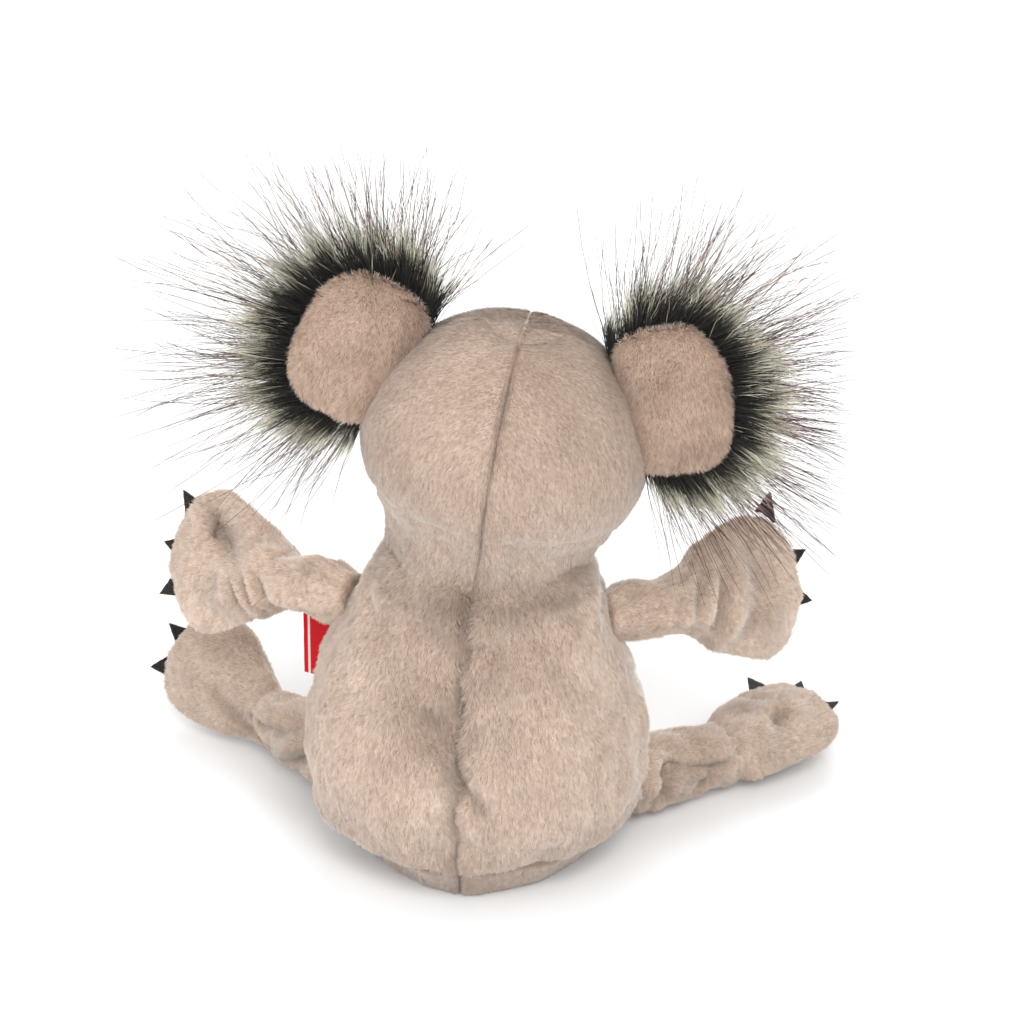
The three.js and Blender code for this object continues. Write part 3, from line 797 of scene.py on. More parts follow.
head = {
    "profile": [(-0.016, 0.0340), (-0.006, 0.0365), (0.003, 0.0375), (0.010, 0.0384), (0.0180, 0.0410), (0.027, 0.0468), (0.037, 0.0522), (0.050, 0.0550), (0.062, 0.0537), (0.0785, 0.0458), (0.090, 0.0345), (0.0975, 0.0202), (0.1005, 0.0060)],
    "depthShare": 0.94,
    "segments": 104,
    "rings": 50,
    "crowding": 0.4,
    "wall": 0.002,
    "faceSeamAngle": -11.25,
    "shade": 0.72,
}
headPile = {"perSquareMetre": 9.0e6, "most": 140000, "length": 0.0019, "lean": 1.24, "width": 0.00044, "ruffle": 0.5, "unruly": 0.16}
headUp = axisOf("head_turn")
headBack = headUp.cross(Vector((1, 0, 0))).normalized()
headFrame = frameAt(neck, headBack.cross(headUp), headUp)
headInverse = headFrame.inverted()


def headPanel(center):
    local = headInverse @ center
    if math.degrees(math.atan2(local.y, abs(local.x))) < head["faceSeamAngle"]:
        return 2
    return 0 if local.x > 0 else 1


def makeHead():
    rings = [(z, w, w * head["depthShare"]) for z, w in curveThrough(head["profile"], head["rings"])]
    form = loftRings("headForm", head["segments"], rings, closedEnd=True)
    places = pointsOf(form)
    reach = np.hypot(places[:, 0], places[:, 1] / head["depthShare"])
    turn = np.arctan2(places[:, 0], places[:, 1] / head["depthShare"])
    turn -= head["crowding"] * np.sin(turn)
    places[:, 0] = reach * np.sin(turn)
    places[:, 1] = reach * np.cos(turn) * head["depthShare"]
    movePoints(form, transformed(places, headFrame))
    panelFaces(form, headPanel)
    seam = seamPoints(form)
    local = transformed(pointsOf(form), headInverse)
    pushAlongNormals(form, -0.0005 * seam * (1 - smoothStep(local[:, 2], 0.080, 0.092)))
    root = 1 - smoothStep(local[:, 2], 0.000, 0.008)
    puffOut(form, np.maximum(seam, root), pressure=3, slack=0.02, cap=0.0016)
    finishWith(form, "SUBSURF", levels=1, render_levels=1)
    local = transformed(pointsOf(form), headInverse)
    x, y, z = local.T
    back = smoothStep(y, 0.0, 0.02)
    push = -0.0008 * np.exp(-((x / 0.0010) ** 2)) * back
    push += 0.0006 * np.exp(-(((np.abs(x) - 0.006) / 0.005) ** 2)) * back
    angle = np.degrees(np.arctan2(y, np.abs(x)))
    push -= 0.0014 * np.exp(-(((angle - head["faceSeamAngle"]) / 2.0) ** 2)) * (1 - smoothStep(z, 0.085, 0.098))
    neckFolds = np.sin(np.arctan2(y, x) * 9 + 2 * softNoise(local, 0.03, 31))
    push += 0.0011 * neckFolds * (1 - smoothStep(z, 0.010, 0.030))
    push += 0.0011 * softNoise(local, 0.030, 32) + 0.0004 * softNoise(local, 0.010, 33)
    pushAlongNormals(form, push * (1 - smoothStep(z, 0.088, 0.096)))
    panels = cutPanels(form, ["headBackLeft", "headBackRight", "facePanel"])
    nodes = ["head_back_left", "head_back_right", "face_panel"]

    def headComb(root):
        local = transformed(root, headInverse)
        x, y, z = local.T
        top = smoothStep(z, 0.045, 0.095)
        lie = np.zeros_like(local)
        lie[:, 0] = np.sign(x) * (0.2 + 1.0 * top) + 0.3 * softNoise(local, 0.03, 34)
        lie[:, 1] = 0.5 * top
        lie[:, 2] = -1
        lie = lie @ np.array(headFrame)[:3, :3].T
        nearNeck = 1 - smoothStep(z, 0.006, 0.022)
        # painted shade: darker near the neck, in the back seam line and along the face seam; the face panel is a little
        # darker
        dim = 1 - 0.14 * (1 - smoothStep(z, 0.004, 0.030))
        stand = np.clip(0.55 * nearNeck + 0.35 * softNoise(local, 0.014, 35), 0, 1)
        line = np.exp(-((x / 0.0006) ** 2)) * (y > 0)
        angle = np.degrees(np.arctan2(y, np.abs(x)))
        edge = np.exp(-(((angle - head["faceSeamAngle"]) / 1.2) ** 2)) * (z < 0.09)
        front = smoothStep(-angle, -head["faceSeamAngle"] - 1, -head["faceSeamAngle"] + 1)
        return lie, stand, head["shade"] * dim * (1 - 0.5 * line) * (1 - 0.4 * edge) * (1 - 0.2 * front)

    for number, (panel, node) in enumerate(zip(panels, nodes)):
        finishPanel(panel, node, plush, headPile, headComb, 30 + number, head["wall"], ("head",))
    print("head done")


makeHead()


# ---- limbs: one plush sleeve from the root to the tip of the paw or foot

arm = {
    # (distance from the root, half breadth, half thickness)
    "rings": [(-0.007, 0.0080, 0.0080), (0.003, 0.0104, 0.0104), (0.011, 0.0114, 0.0112), (0.020, 0.0130, 0.0116), (0.030, 0.0160, 0.0114), (0.038, 0.0192, 0.0108), (0.046, 0.0228, 0.0102), (0.055, 0.0264, 0.0096), (0.064, 0.0280, 0.0088), (0.0725, 0.0252, 0.0078), (0.079, 0.0172, 0.0062), (0.0818, 0.0060, 0.0030)],
    "joint": 0.042,
    "shade": 0.95,
    "rootShift": -0.003,
    # folds on the side that faces up and back: (distance, breadth) start and end, width, depth
    "folds": {
        "left": [((0.024, -0.013), (0.033, 0.002), 0.0028, 0.0034), ((0.031, -0.015), (0.040, 0.000), 0.0028, 0.0036), ((0.039, -0.017), (0.046, -0.003), 0.0030, 0.0030), ((0.046, 0.008), (0.067, 0.021), 0.0056, 0.0080), ((0.050, -0.002), (0.064, -0.014), 0.0060, 0.0024)],
        "right": [((0.028, -0.008), (0.034, 0.012), 0.0032, 0.0040), ((0.037, -0.018), (0.043, 0.010), 0.0040, 0.0050), ((0.048, -0.020), (0.058, -0.004), 0.0050, 0.0030), ((0.054, 0.000), (0.068, 0.012), 0.0100, 0.0034), ((0.018, -0.008), (0.025, 0.005), 0.0030, 0.0022)],
    },
}
leg = {
    "rings": [(-0.006, 0.0105, 0.0105), (0.002, 0.0134, 0.0130), (0.010, 0.0140, 0.0134), (0.022, 0.0142, 0.0132), (0.034, 0.0128, 0.0114), (0.046, 0.0124, 0.0100), (0.058, 0.0168, 0.0098), (0.070, 0.0206, 0.0092), (0.080, 0.0212, 0.0086), (0.089, 0.0182, 0.0074), (0.0945, 0.0112, 0.0052), (0.0960, 0.0048, 0.0026)],
    "joint": 0.046,
    "shade": 0.79,
    "rootShift": 0.0,
    "folds": {
        "left": [((0.004, 0.006), (0.020, -0.008), 0.0034, 0.0060), ((0.014, 0.008), (0.052, -0.001), 0.0034, 0.0050), ((0.032, -0.009), (0.074, -0.003), 0.0040, 0.0048), ((0.010, -0.010), (0.030, -0.003), 0.0030, 0.0034)],
        "right": [((0.004, -0.009), (0.013, 0.009), 0.0030, 0.0056), ((0.012, 0.008), (0.044, 0.001), 0.0032, 0.0046), ((0.020, -0.010), (0.032, 0.002), 0.0030, 0.0036), ((0.050, 0.004), (0.078, 0.011), 0.0036, 0.0036), ((0.064, -0.008), (0.074, -0.002), 0.0042, 0.0050)],
    },
}
limbPile = {"perSquareMetre": 9.0e6, "most": 120000, "length": 0.0020, "lean": 1.18, "width": 0.00044, "ruffle": 0.5, "unruly": 0.22}
limbSegments = 56
limbRings = 66


def limbFrames(kind, side):
    if kind == "arm":
        root, joint = pivotOf(f"arm_{side}_swing"), pivotOf(f"paw_{side}_flop")
        rootFrame = frameAt(root, joint - root, axisOf(f"paw_{side}_flop"))
        return rootFrame, frameAt(joint, joint - root, axisOf(f"paw_{side}_flop"))
    root, joint = pivotOf(f"leg_{side}_swing"), pivotOf(f"foot_{side}_flop")
    cover = pointsOf(frame["nodes"][f"foot_{side}_cover"])
    outward = Vector(cover.mean(axis=0)) - joint
    hinge = axisOf(f"foot_{side}_flop")
    outward -= hinge * outward.dot(hinge)
    return frameAt(root, joint - root, Vector((0, 0, 1))), frameAt(joint, outward, hinge)


def limbPlace(local, rootFrame, tipFrame, joint):
    # bends straight-limb coordinates (thickness, breadth, distance) around the joint
    distance = local[:, 2]
    share = smoothStep(distance, joint - 0.014, joint + 0.014)
    rootTurn, tipTurn = rootFrame.to_quaternion(), tipFrame.to_quaternion()
    rootOut, tipOut = (np.array(f.col[0][:3]) for f in (rootFrame, tipFrame))
    # the middle line follows the root's axis, then the tip's, and is rounded between them
    middle = np.array(tipFrame.translation)
    bend = 0.010
    t = np.clip((distance - joint + bend) / (2 * bend), 0, 1)
    before = np.minimum(distance - joint, -bend)
    after = np.maximum(distance - joint, bend)
    curve = (1 - t)[:, None] ** 2 * (rootOut * -bend) + t[:, None] ** 2 * (tipOut * bend)
    line = np.where((distance - joint < -bend)[:, None], rootOut * before[:, None],
                    np.where((distance - joint > bend)[:, None], tipOut * after[:, None], curve))
    places = np.empty_like(local)
    levels = np.round(share * 40).astype(int)
    for level in np.unique(levels):
        turn = np.array(rootTurn.slerp(tipTurn, level / 40).to_matrix())
        chosen = levels == level
        flat = local[chosen] * [1, 1, 0]
        # local (thickness, breadth) are the frame's Y and Z
        places[chosen] = flat[:, :1] * turn[:, 1] + flat[:, 1:2] * turn[:, 2]
    places += line + middle
    return places


def makeLimb(kind, side, settings, names, seed):
    knots = [(s, t, b) for s, b, t in settings["rings"]]
    rings = [tuple(ring) for ring in curveThrough(knots, limbRings)]
    form = loftRings(names["piece"], limbSegments, rings, closedStart=True, closedEnd=True)
    rootFrame, tipFrame = limbFrames(kind, side)
    local = pointsOf(form)
    # the rim is sewn flat, so the fan is lens-shaped
    fan = smoothStep(local[:, 2], settings["joint"] - 0.004, settings["joint"] + 0.018)
    halfBreadth = np.interp(local[:, 2], [k[0] for k in settings["rings"]], [k[1] for k in settings["rings"]])
    rim = np.clip(np.abs(local[:, 1]) / halfBreadth, 0, 1)
    local[:, 0] *= 1 - fan * 0.35 * rim ** 3
    for name, values in (("distance", local[:, 2]), ("breadth", local[:, 1])):
        attribute = form.data.attributes.new(name, "FLOAT", "POINT")
        attribute.data.foreach_set("value", values.astype(np.float32))
    places = limbPlace(local, rootFrame, tipFrame, settings["joint"])
    places[:, 1] += settings["rootShift"] * (1 - smoothStep(local[:, 2], 0.002, 0.032))
    movePoints(form, places)
    root = 1 - smoothStep(local[:, 2], 0.000, 0.006)
    edge = fan * (rim > 0.985) + (local[:, 2] > settings["rings"][-1][0] - 0.0015)
    puffOut(form, np.clip(np.maximum(root, edge), 0, 1), pressure=3, slack=0.06, cap=0.0026)
    finishWith(form, "SUBSURF", levels=1, render_levels=1)
    shades = limbWrinkles(form, settings, side, seed)
    outer = skinArrays(form)

    def limbComb(root):
        towardTip = (np.array(tipFrame.translation) - np.array(rootFrame.translation))
        lie = np.tile(towardTip / np.linalg.norm(towardTip), (len(root), 1))
        lie[:, 2] -= 0.5
        lie += 0.5 * np.stack([softNoise(root, 0.02, seed + i) for i in range(3)], axis=1)
        stand = np.clip(0.2 + 0.5 * softNoise(root, 0.012, seed + 4), 0, 1)
        return lie, stand, np.ones(len(root))

    setPile(form, outer, plush, limbPile, limbComb, seed, shades)
    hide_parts(*names["nodes"])
    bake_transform(form)
    print(names["piece"], "done")
    return form


def readAttribute(obj, name):
    values = np.empty(len(obj.data.vertices), np.float32)
    obj.data.attributes[name].data.foreach_get("value", values)
    return values.astype(float)


def limbWrinkles(form, settings, side, seed):
    places = pointsOf(form)
    distance, breadth = readAttribute(form, "distance"), readAttribute(form, "breadth")
    seen = smoothStep(normalsOf(form) @ np.array([0, 0.86, 0.5]), -0.1, 0.5)
    widest = np.interp(distance, [k[0] for k in settings["rings"]], [k[1] for k in settings["rings"]])
    around = np.arcsin(np.clip(breadth / widest, -1, 1))
    gathers = np.sin(around * 7 + 2 * softNoise(places, 0.02, seed)) * np.exp(-((distance - 0.006) / 0.010) ** 2)
    cross = np.sin(distance / 0.0042 + 3 * softNoise(places, 0.016, seed + 2)) * np.exp(-((distance - settings["joint"] + 0.010) / 0.014) ** 2)
    push = 0.0014 * gathers + 0.0007 * softNoise(places, 0.010, seed + 1)
    push += 0.0008 * cross * smoothStep(softNoise(places, 0.02, seed + 3), -0.3, 0.5)
    push += 0.0015 * softNoise(places, 0.022, seed + 5)
    # how far into a fold each point lies, for painted shade in the folds
    deepShade = np.zeros(len(places))
    for start, end, width, depth in settings["folds"][side]:
        push -= depth * torsoFold(distance, breadth, start, end, width) * seen
        push += 0.45 * depth * torsoFold(distance - 1.9 * width, breadth - 0.5 * width, start, end, width) * seen
        push += 0.25 * depth * torsoFold(distance + 1.9 * width, breadth + 0.5 * width, start, end, width) * seen
        deepShade = np.maximum(deepShade, torsoFold(distance, breadth, start, end, width * 0.8) * min(depth / 0.005, 1) * seen)
    pushAlongNormals(form, push)
    places = pointsOf(form)
    places[:, 2] = np.maximum(places[:, 2], 0.0012)
    movePoints(form, places)
    # the limb's painted shade, darker in the folds, with random tone
    return settings["shade"] * (1 - 0.5 * deepShade) * (1 + 0.12 * softNoise(places, 0.014, seed + 6))


for number, (side, sign) in enumerate(sides.items()):
    makeLimb("arm", side, arm, {
        "piece": f"{side}Arm", "nodes": [f"arm_sleeve_{side}", f"paw_{side}_cover"]}, 40 + number * 10)
    makeLimb("leg", side, leg, {
        "piece": f"{side}Leg", "nodes": [f"leg_cover_{side}", f"foot_{side}_cover"]}, 60 + number * 10)


# ---- ears

ear = {"halfWidth": 0.0275, "halfLength": 0.0238, "dome": 0.0092, "middle": 0.0125, "rise": 20, "lean": 16, "squareness": 2.7}
earPile = {"perSquareMetre": 10e6, "most": 60000, "length": 0.0022, "lean": 1.0, "width": 0.00046, "ruffle": 0.3, "unruly": 0.28}
fur = {
    "under": {"count": 10400, "length": (0.023, 0.034), "thickness": 0.00026, "segments": 3, "locks": 420, "gather": 0.35, "stray": 0.13, "bow": 0.07, "loose": 0.06},
    "guard": {"count": 1350, "length": (0.034, 0.090), "thickness": 0.00028, "segments": 5, "locks": 500, "gather": 0.05, "stray": 0.15, "bow": 0.045, "loose": 0.17},
}


def earFrameOf(side):
    turn = math.radians(-ear["rise"] if side == "left" else 180 + ear["rise"])
    lean = math.radians(ear["lean"] * sides[side])
    local = Matrix.Rotation(turn, 4, "Y") @ Matrix.Rotation(lean, 4, "X")
    place = headFrame.to_quaternion().to_matrix().to_4x4() @ local
    return Matrix.Translation(pivotOf(f"ear_{side}_flop")) @ place


def insideHead(places, clearance):
    local = transformed(places, headInverse)
    z = local[:, 2]
    profile = np.array(head["profile"])
    radius = np.interp(z, profile[:, 0], profile[:, 1], left=0, right=0) + clearance
    reach = np.hypot(local[:, 0], local[:, 1] / head["depthShare"])
    return (reach < radius) & (z > -0.02) & (z < profile[-1, 0] + clearance)


def makeEarBack(side, number):
    place = earFrameOf(side)
    deselectAll()
    bpy.ops.mesh.primitive_uv_sphere_add(segments=48, ring_count=24, radius=1, location=(0, 0, 0))
    form = bpy.context.object
    form.name = f"{side}EarBack"
    local = pointsOf(form)
    turn = np.arctan2(local[:, 2], local[:, 0])
    n = ear["squareness"]
    square = (np.abs(np.cos(turn)) ** n + np.abs(np.sin(turn)) ** n) ** (-1 / n)
    local = local * [ear["halfLength"], ear["dome"], ear["halfWidth"]]
    local[:, (0, 2)] *= square[:, None]
    local[:, 1] = np.where(local[:, 1] < 0, local[:, 1] * 0.25, local[:, 1])
    local[:, 0] += ear["middle"]
    rootPinch = 1 - smoothStep(local[:, 0], -0.010, 0.006)
    local[:, 1] *= 1 - 0.35 * rootPinch
    local[:, 0] = np.maximum(local[:, 0], -0.006)
    movePoints(form, transformed(local, place))
    rim = (np.abs(local[:, 1]) < 0.0006).astype(float)
    puffOut(form, np.maximum(rim, rootPinch), pressure=3, slack=0.03, cap=0.003)
    finishWith(form, "SUBSURF", levels=1, render_levels=1)
    pushAlongNormals(form, 0.0008 * softNoise(pointsOf(form), 0.014, 70 + number))
    outer = skinArrays(form)

    def earComb(root):
        lie = np.tile(-np.array(place.col[2][:3]) * sides[side], (len(root), 1))
        lie += 0.4 * np.stack([softNoise(root, 0.015, 71 + i) for i in range(3)], axis=1)
        return lie, np.clip(0.3 + 0.4 * softNoise(root, 0.010, 75), 0, 1), np.ones(len(root))

    setPile(form, outer, earPlush, earPile, earComb, 70 + number)
    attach(form, f"ear_{side}")
    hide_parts(f"ear_back_{side}")
    return form


def strandArrays(settings, place, seed):
    random = np.random.default_rng(seed)
    count = settings["count"] * 2
    # roots crowd towards the ear's rim; 0 degrees points away from the head
    turn = np.radians(random.uniform(-180, 180, count))
    reach = 1 - 0.75 * random.random(count) ** 1.7
    root = np.stack([
        ear["middle"] + 0.97 * ear["halfLength"] * reach * np.cos(turn),
        -0.0016 + 0.0010 * random.normal(size=count) - 0.004 * (1 - reach),
        0.97 * ear["halfWidth"] * reach * np.sin(turn)], axis=1)
    lockRoot = random.choice(count, settings["locks"], replace=False)
    lockOf = np.argmin(((root[:, None, :2:2] - root[None, lockRoot, :2:2]) ** 2).sum(axis=2)
                       + ((root[:, None, 2] - root[None, lockRoot, 2]) ** 2), axis=1)
    leader = lockRoot[lockOf]
    # the strands beside the head point along it rather than into it
    aim = turn * 0.61
    outward = np.stack([np.cos(aim), np.zeros(count), np.sin(aim)], axis=1)
    forward = np.array([0, -1.0, 0])
    lockStray = settings["stray"] * random.normal(size=(count, 3))[leader]
    direction = outward * (0.35 + 0.80 * reach[:, None]) + forward * (0.72 - 0.62 * reach[:, None])
    # in front of the ear's root the strands stand forward, clear of the head
    nearHead = (1 - smoothStep(root[:, 0], 0.000, 0.012)) * (1 - smoothStep(np.abs(root[:, 2]), 0.008, 0.018))
    direction += nearHead[:, None] * (1.2 * forward - 0.8 * outward * (0.35 + 0.80 * reach[:, None]) + [0.25, 0, 0])
    direction += lockStray + settings["loose"] * random.normal(size=(count, 3))
    direction /= np.linalg.norm(direction, axis=1, keepdims=True)
    low, high = settings["length"]
    length = low + (high - low) * random.random(count) ** 1.5
    length *= 1 - 0.22 * smoothStep(np.abs(np.degrees(aim)), 65, 100)
    length *= (0.84 + 0.32 * random.random(count))[leader]
    falling = -(direction @ np.array(place)[:3, :3].T)[:, 2]
    length *= 1 - 0.30 * smoothStep(falling, 0.2, 0.9)
    tipPlace = root + direction * length[:, None]
    leaderTip = root[leader] + direction[leader] * length[leader][:, None]
    tipPlace += (leaderTip - tipPlace) * settings["gather"] * random.random((count, 1))
    rings = settings["segments"]
    steps = np.linspace(0, 1, rings + 1)
    rootWorld, tipWorld = transformed(root, place), transformed(tipPlace, place)
    outWorld = direction @ np.array(place)[:3, :3].T
    bend = np.cross(outWorld, random.normal(size=(count, 3)))[leader] + 0.4 * random.normal(size=(count, 3))
    line = []
    for t in steps:
        straight = rootWorld + (tipWorld - rootWorld) * t
        bow = bend * (length * settings["bow"] * math.sin(math.pi * t))[:, None]
        droop = np.zeros_like(straight)
        droop[:, 2] = -length * 0.12 * t * t
        line.append(straight + bow + droop)
    line = np.stack(line, axis=1)
    # trimmed where it would reach too far out
    reachOut = line - line[:, :1]
    room = np.where(reachOut > 0, cadHigh + hairRoom - line[:, :1], line[:, :1] - cadLow + hairRoom)
    share = np.min(room / np.maximum(np.abs(reachOut), 1e-6), axis=(1, 2))
    share = np.where(share < 1.04, share * random.uniform(0.80, 0.96, count), 1)
    line = line[:, :1] + reachOut * np.minimum(share, 1)[:, None, None]
    hidden = np.zeros(count, bool)
    for index in range(1, rings + 1):
        hidden |= insideHead(line[:, index], 0.0015)
    kept = np.nonzero(~hidden)[0][: settings["count"]]
    return line[kept], random.random(len(kept)), random.uniform(0.7, 1.25, len(kept)), steps


def makeFur(side, kind, material, seed):
    settings = fur[kind]
    line, tone, thick, steps = strandArrays(settings, earFrameOf(side), seed)
    count, rings = len(line), len(steps) - 1
    along = line[:, -1] - line[:, 0]
    along /= np.linalg.norm(along, axis=1, keepdims=True)
    across = np.cross(along, [0.3, 0.5, 0.81])
    across /= np.linalg.norm(across, axis=1, keepdims=True)
    other = np.cross(along, across)
    places, tips = [], []
    shift = np.random.default_rng(seed + 500).uniform(-0.18, 0.10, count)  # bands start earlier or later
    shift -= 0.14 * np.clip(along[:, 2], 0, 1)  # and the dark roots are longer at the ear's top
    for index, t in enumerate(steps[:-1]):
        radius = settings["thickness"] / 2 * thick * (1 - 0.55 * t * t)
        for turn in (0, 2 * math.pi / 3, 4 * math.pi / 3):
            offset = across * math.cos(turn) + other * math.sin(turn)
            places.append(line[:, index] + offset * radius[:, None])
            tips.append(t + shift * math.sin(math.pi * t))
    places.append(line[:, -1])
    tips.append(np.ones(count))
    places = np.stack(places, axis=1).reshape(-1, 3)
    tips = np.stack(tips, axis=1).reshape(-1)
    faces = []
    for index in range(rings - 1):
        for k in range(3):
            a, b = index * 3 + k, index * 3 + (k + 1) % 3
            faces += [[a, b, a + 3], [b, b + 3, a + 3]]
    last = (rings - 1) * 3
    faces += [[last + k, last + (k + 1) % 3, rings * 3] for k in range(3)]
    perStrand = rings * 3 + 1
    triangles = (np.arange(count)[:, None, None] * perStrand + np.array(faces)[None]).reshape(-1, 3)
    deselectAll()
    bpy.ops.mesh.primitive_cone_add(vertices=3, radius1=settings["thickness"], depth=0.01, location=(0, 0, 0))
    form = bpy.context.object
    form.name = f"{side}Ear{kind.capitalize()}Fur"
    meshFromArrays(form, places, triangles, None, tips, np.repeat(tone, perStrand), material)
    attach(form, f"ear_{side}")
    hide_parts(f"ear_fur_{side}")
    print(form.name, count, "strands")


for number, side in enumerate(sides):
    makeEarBack(side, number)
    makeFur(side, "under", underFur, 80 + number)
    makeFur(side, "guard", guardFur, 90 + number)


# ---- claws, face, label and the hidden pieces


def copyOfNode(node, name):
    # a merged copy of a CAD piece, as the start of its finished form
    source = frame["nodes"][node]
    copy = bpy.data.objects.new(name, source.data.copy())
    bpy.context.scene.collection.objects.link(copy)
    copy.data.materials.clear()
    activate(copy)
    bpy.ops.object.mode_set(mode="EDIT")
    bpy.ops.mesh.select_all(action="SELECT")
    bpy.ops.mesh.remove_doubles(threshold=0.00002)
    bpy.ops.mesh.normals_make_consistent(inside=False)
    bpy.ops.object.mode_set(mode="OBJECT")
    return copy


def bodyOf(node):
    return [name for name, nodes in frame["record"]["behaviour"]["bodies"].items() if node in nodes][0]


def smoothShade(obj):
    obj.data.polygons.foreach_set("use_smooth", np.ones(len(obj.data.polygons), bool))


def refinedCopy(node, name, material, voxel, rounding, lumps, lumpSize, seed, drawnIn=0.0, slim=1.0):
    # remeshed and softened copy of a CAD piece, with uneven lumps
    obj = copyOfNode(node, name)
    finishWith(obj, "REMESH", mode="VOXEL", voxel_size=voxel)
    finishWith(obj, "SMOOTH", factor=0.5, iterations=rounding)
    pushAlongNormals(obj, lumps * (softNoise(pointsOf(obj), lumpSize, seed) - 0.6))
    if slim < 1:
        # smaller than its cover
        middle = nodeMiddle(node)
        movePoints(obj, np.array(middle) + (pointsOf(obj) - np.array(middle)) * slim)
    if drawnIn:
        # towards the middle of the body, away from the plush around it
        places = pointsOf(obj)
        places[:, :2] += (np.array(base)[:2] - places[:, :2]) * drawnIn
        movePoints(obj, places)
    smoothShade(obj)
    obj.data.materials.append(material)
    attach(obj, bodyOf(node))
    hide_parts(node)
    return obj


clawLook = {"voxel": 0.0005, "rounding": 3, "lumps": 0.00012, "lumpSize": 0.0012}
fillLook = {"voxel": 0.0020, "rounding": 4, "lumps": 0.0006, "lumpSize": 0.007}
for number, side in enumerate(sides):
    for kind in ("paw", "foot"):
        for claw in (1, 2, 3):
            node = f"{kind}_{side}_claw_{claw}"
            refinedCopy(node, f"{side}{kind.capitalize()}Claw{claw}", blackFelt, seed=number * 9 + claw, **clawLook)
        fill = refinedCopy(f"{kind}_{side}_filling", f"{side}{kind.capitalize()}Stuffing", fibreFill, seed=number, slim=0.72, **fillLook)
    for node, name in ((f"leg_filling_{side}", f"{side}LegStuffing"), (f"ear_pad_{side}", f"{side}EarPad")):
        refinedCopy(node, name, fibreFill, seed=number + 4, slim=0.66, **fillLook)
refinedCopy("head_filling", "headStuffing", fibreFill, seed=8, voxel=0.003, rounding=4, lumps=0.0020, lumpSize=0.030, slim=0.86)
refinedCopy("torso_wadding", "torsoWadding", fibreFill, seed=9, voxel=0.0020, rounding=2, lumps=0.0004, lumpSize=0.009, drawnIn=0.10)
refinedCopy("glove_lining", "gloveLining", lining, seed=10, voxel=0.0011, rounding=3, lumps=0.0003, lumpSize=0.012, drawnIn=0.10)
refinedCopy("hem_band", "hemTurnUp", plush, seed=11, voxel=0.0016, rounding=3, lumps=0.0004, lumpSize=0.008, drawnIn=0.09)
refinedCopy("finger_pocket", "fingerPocket", lining, seed=12, voxel=0.0007, rounding=3, lumps=0.0003, lumpSize=0.010)
for side in sides:
    binding = refinedCopy(f"armhole_binding_{side}", f"{side}ArmholeBinding", bindingTape, seed=13, voxel=0.0007, rounding=2, lumps=0.0002, lumpSize=0.004)
    # the sleeve is gathered over the tape and sits a little forward on it
    middle = np.array(pivotOf(f"arm_{side}_swing"))
    movePoints(binding, middle + (pointsOf(binding) - middle) * 0.86 + [0, arm["rootShift"], 0])
    washer = refinedCopy(f"eye_washer_{side}", f"{side}EyeWasher", washerPlastic, seed=14, voxel=0.0005, rounding=1, lumps=0.0, lumpSize=0.01)
    refinedCopy(f"eye_{side}", f"{side}Eye", eyeGloss, seed=15, voxel=0.0004, rounding=8, lumps=0.0, lumpSize=0.01)
noseCover = refinedCopy("nose", "noseCover", noseCloth, seed=16, voxel=0.0006, rounding=14, lumps=0.00015, lumpSize=0.006)
mouth = refinedCopy("mouth_stitch", "mouthStitch", blackFelt, seed=17, voxel=0.0003, rounding=4, lumps=0.0001, lumpSize=0.001)


def seatOnHead(obj, sink):
    # moves a piece straight in until its back is this far under the face's skin
    local = transformed(pointsOf(obj), headInverse)
    profile = np.array(head["profile"])
    reach = np.hypot(local[:, 0], local[:, 1] / head["depthShare"])
    gap = np.min(reach - np.interp(local[:, 2], profile[:, 0], profile[:, 1]))
    print(obj.name, "stands", round(gap * 1000, 1), "mm off the face")
    local[:, :2] *= (1 - max(gap + sink, 0) / reach)[:, None]
    movePoints(obj, transformed(local, headFrame))


seatOnHead(mouth, 0.0005)
for side in sides:
    seatOnHead(bpy.data.objects[f"{side}Eye"], 0.0015)
seatOnHead(noseCover, 0.0020)


def makeLabel():
    obj = refinedCopy("side_label", "sideLabel", redRibbon, seed=18, voxel=0.0004, rounding=2, lumps=0.0001, lumpSize=0.004)
    places = pointsOf(obj)
    low, high = (np.array(corner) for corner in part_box("side_label"))
    across = (places[:, 0] - low[0]) / (high[0] - low[0])
    values = np.clip((1 - across), 0, 1)
    for name in ("tip", "tone"):
        attribute = obj.data.attributes.new(name, "FLOAT", "POINT")
        attribute.data.foreach_set("value", values.astype(np.float32))
    print("label done")


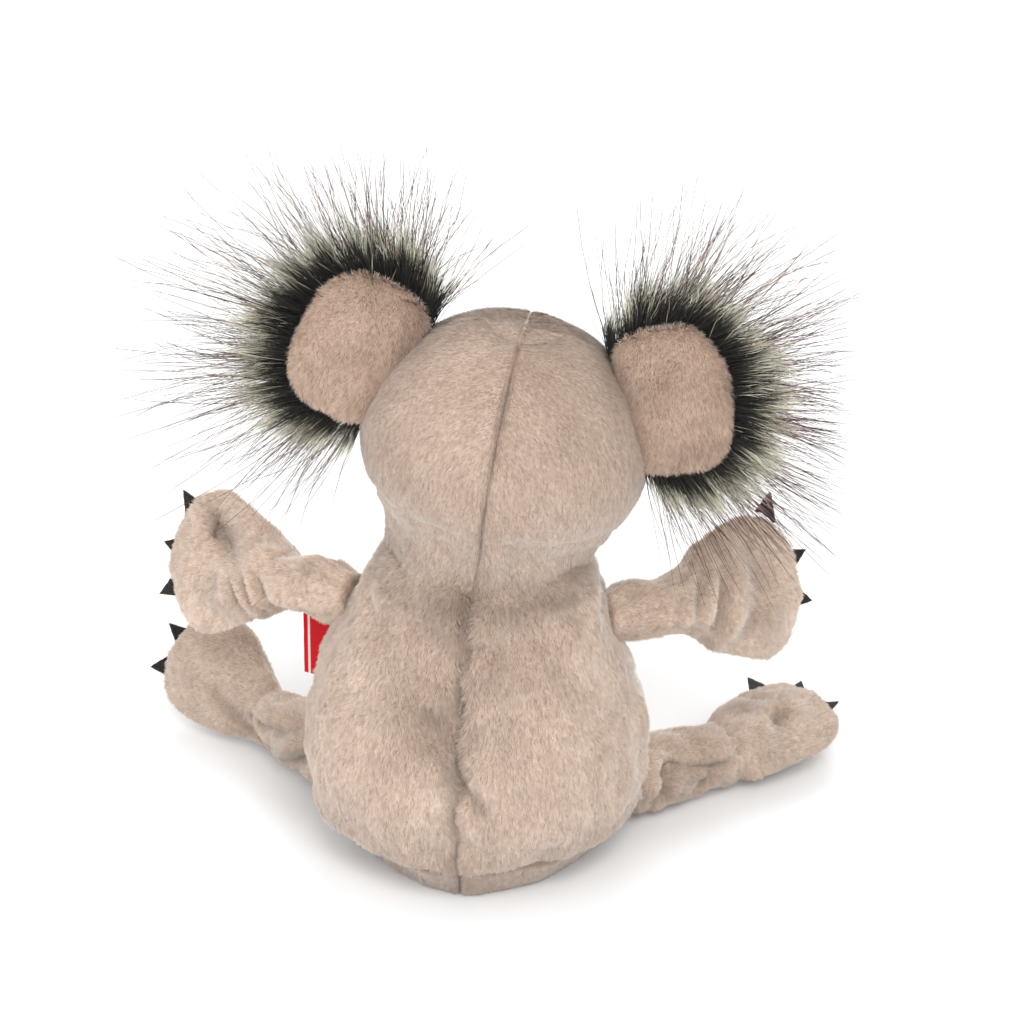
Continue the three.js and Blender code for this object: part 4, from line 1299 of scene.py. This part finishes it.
makeLabel()


# ---- floor, light and camera

cameraSettings = {"azimuth": 188, "elevation": 30, "distance": 2.5, "span": 0.4096, "side": 0.0138, "rise": 0.128}


def makeStage():
    deselectAll()
    bpy.ops.mesh.primitive_plane_add(size=6, location=(0, 0, 0))
    floor = bpy.context.object
    floor.name = "floor"
    material, tree, shader = newMaterial("paleFloor", 0.9)
    shader.inputs["Base Color"].default_value = (0.9, 0.9, 0.9, 1)
    floor.data.materials.append(material)
    world = bpy.data.worlds.new("studio")
    world.use_nodes = True
    world.node_tree.nodes["Background"].inputs["Color"].default_value = (1, 1, 1, 1)
    world.node_tree.nodes["Background"].inputs["Strength"].default_value = 0.95
    bpy.context.scene.world = world
    lamps = [("key", (-0.5, 1.1, 1.3), 15, 0.9), ("fill", (1.1, 0.9, 0.7), 7, 1.0), ("front", (0, -1.2, 1.0), 8, 1.0)]
    for name, place, power, size in lamps:
        bpy.ops.object.light_add(type="AREA", location=place)
        lamp = bpy.context.object
        lamp.name = name
        lamp.data.energy = power
        lamp.data.size = size
        lamp.rotation_euler = (Vector((0, 0, 0.1)) - lamp.location).to_track_quat("-Z", "Y").to_euler()


def makeCamera():
    azimuth, elevation = (math.radians(cameraSettings[key]) for key in ("azimuth", "elevation"))
    forward = Vector((-math.sin(azimuth) * math.cos(elevation), math.cos(azimuth) * math.cos(elevation), -math.sin(elevation)))
    right = forward.cross(Vector((0, 0, 1))).normalized()
    up = right.cross(forward)
    target = base + right * cameraSettings["side"] + up * cameraSettings["rise"]
    data = bpy.data.cameras.new("camera")
    data.angle = 2 * math.atan(cameraSettings["span"] / 2 / cameraSettings["distance"])
    data.clip_end = 20
    camera = bpy.data.objects.new("camera", data)
    bpy.context.scene.collection.objects.link(camera)
    camera.location = target - forward * cameraSettings["distance"]
    camera.rotation_euler = forward.to_track_quat("-Z", "Y").to_euler()
    bpy.context.scene.camera = camera


makeStage()
makeCamera()
bpy.context.scene.view_settings.view_transform = "Standard"
print("stage and camera done")
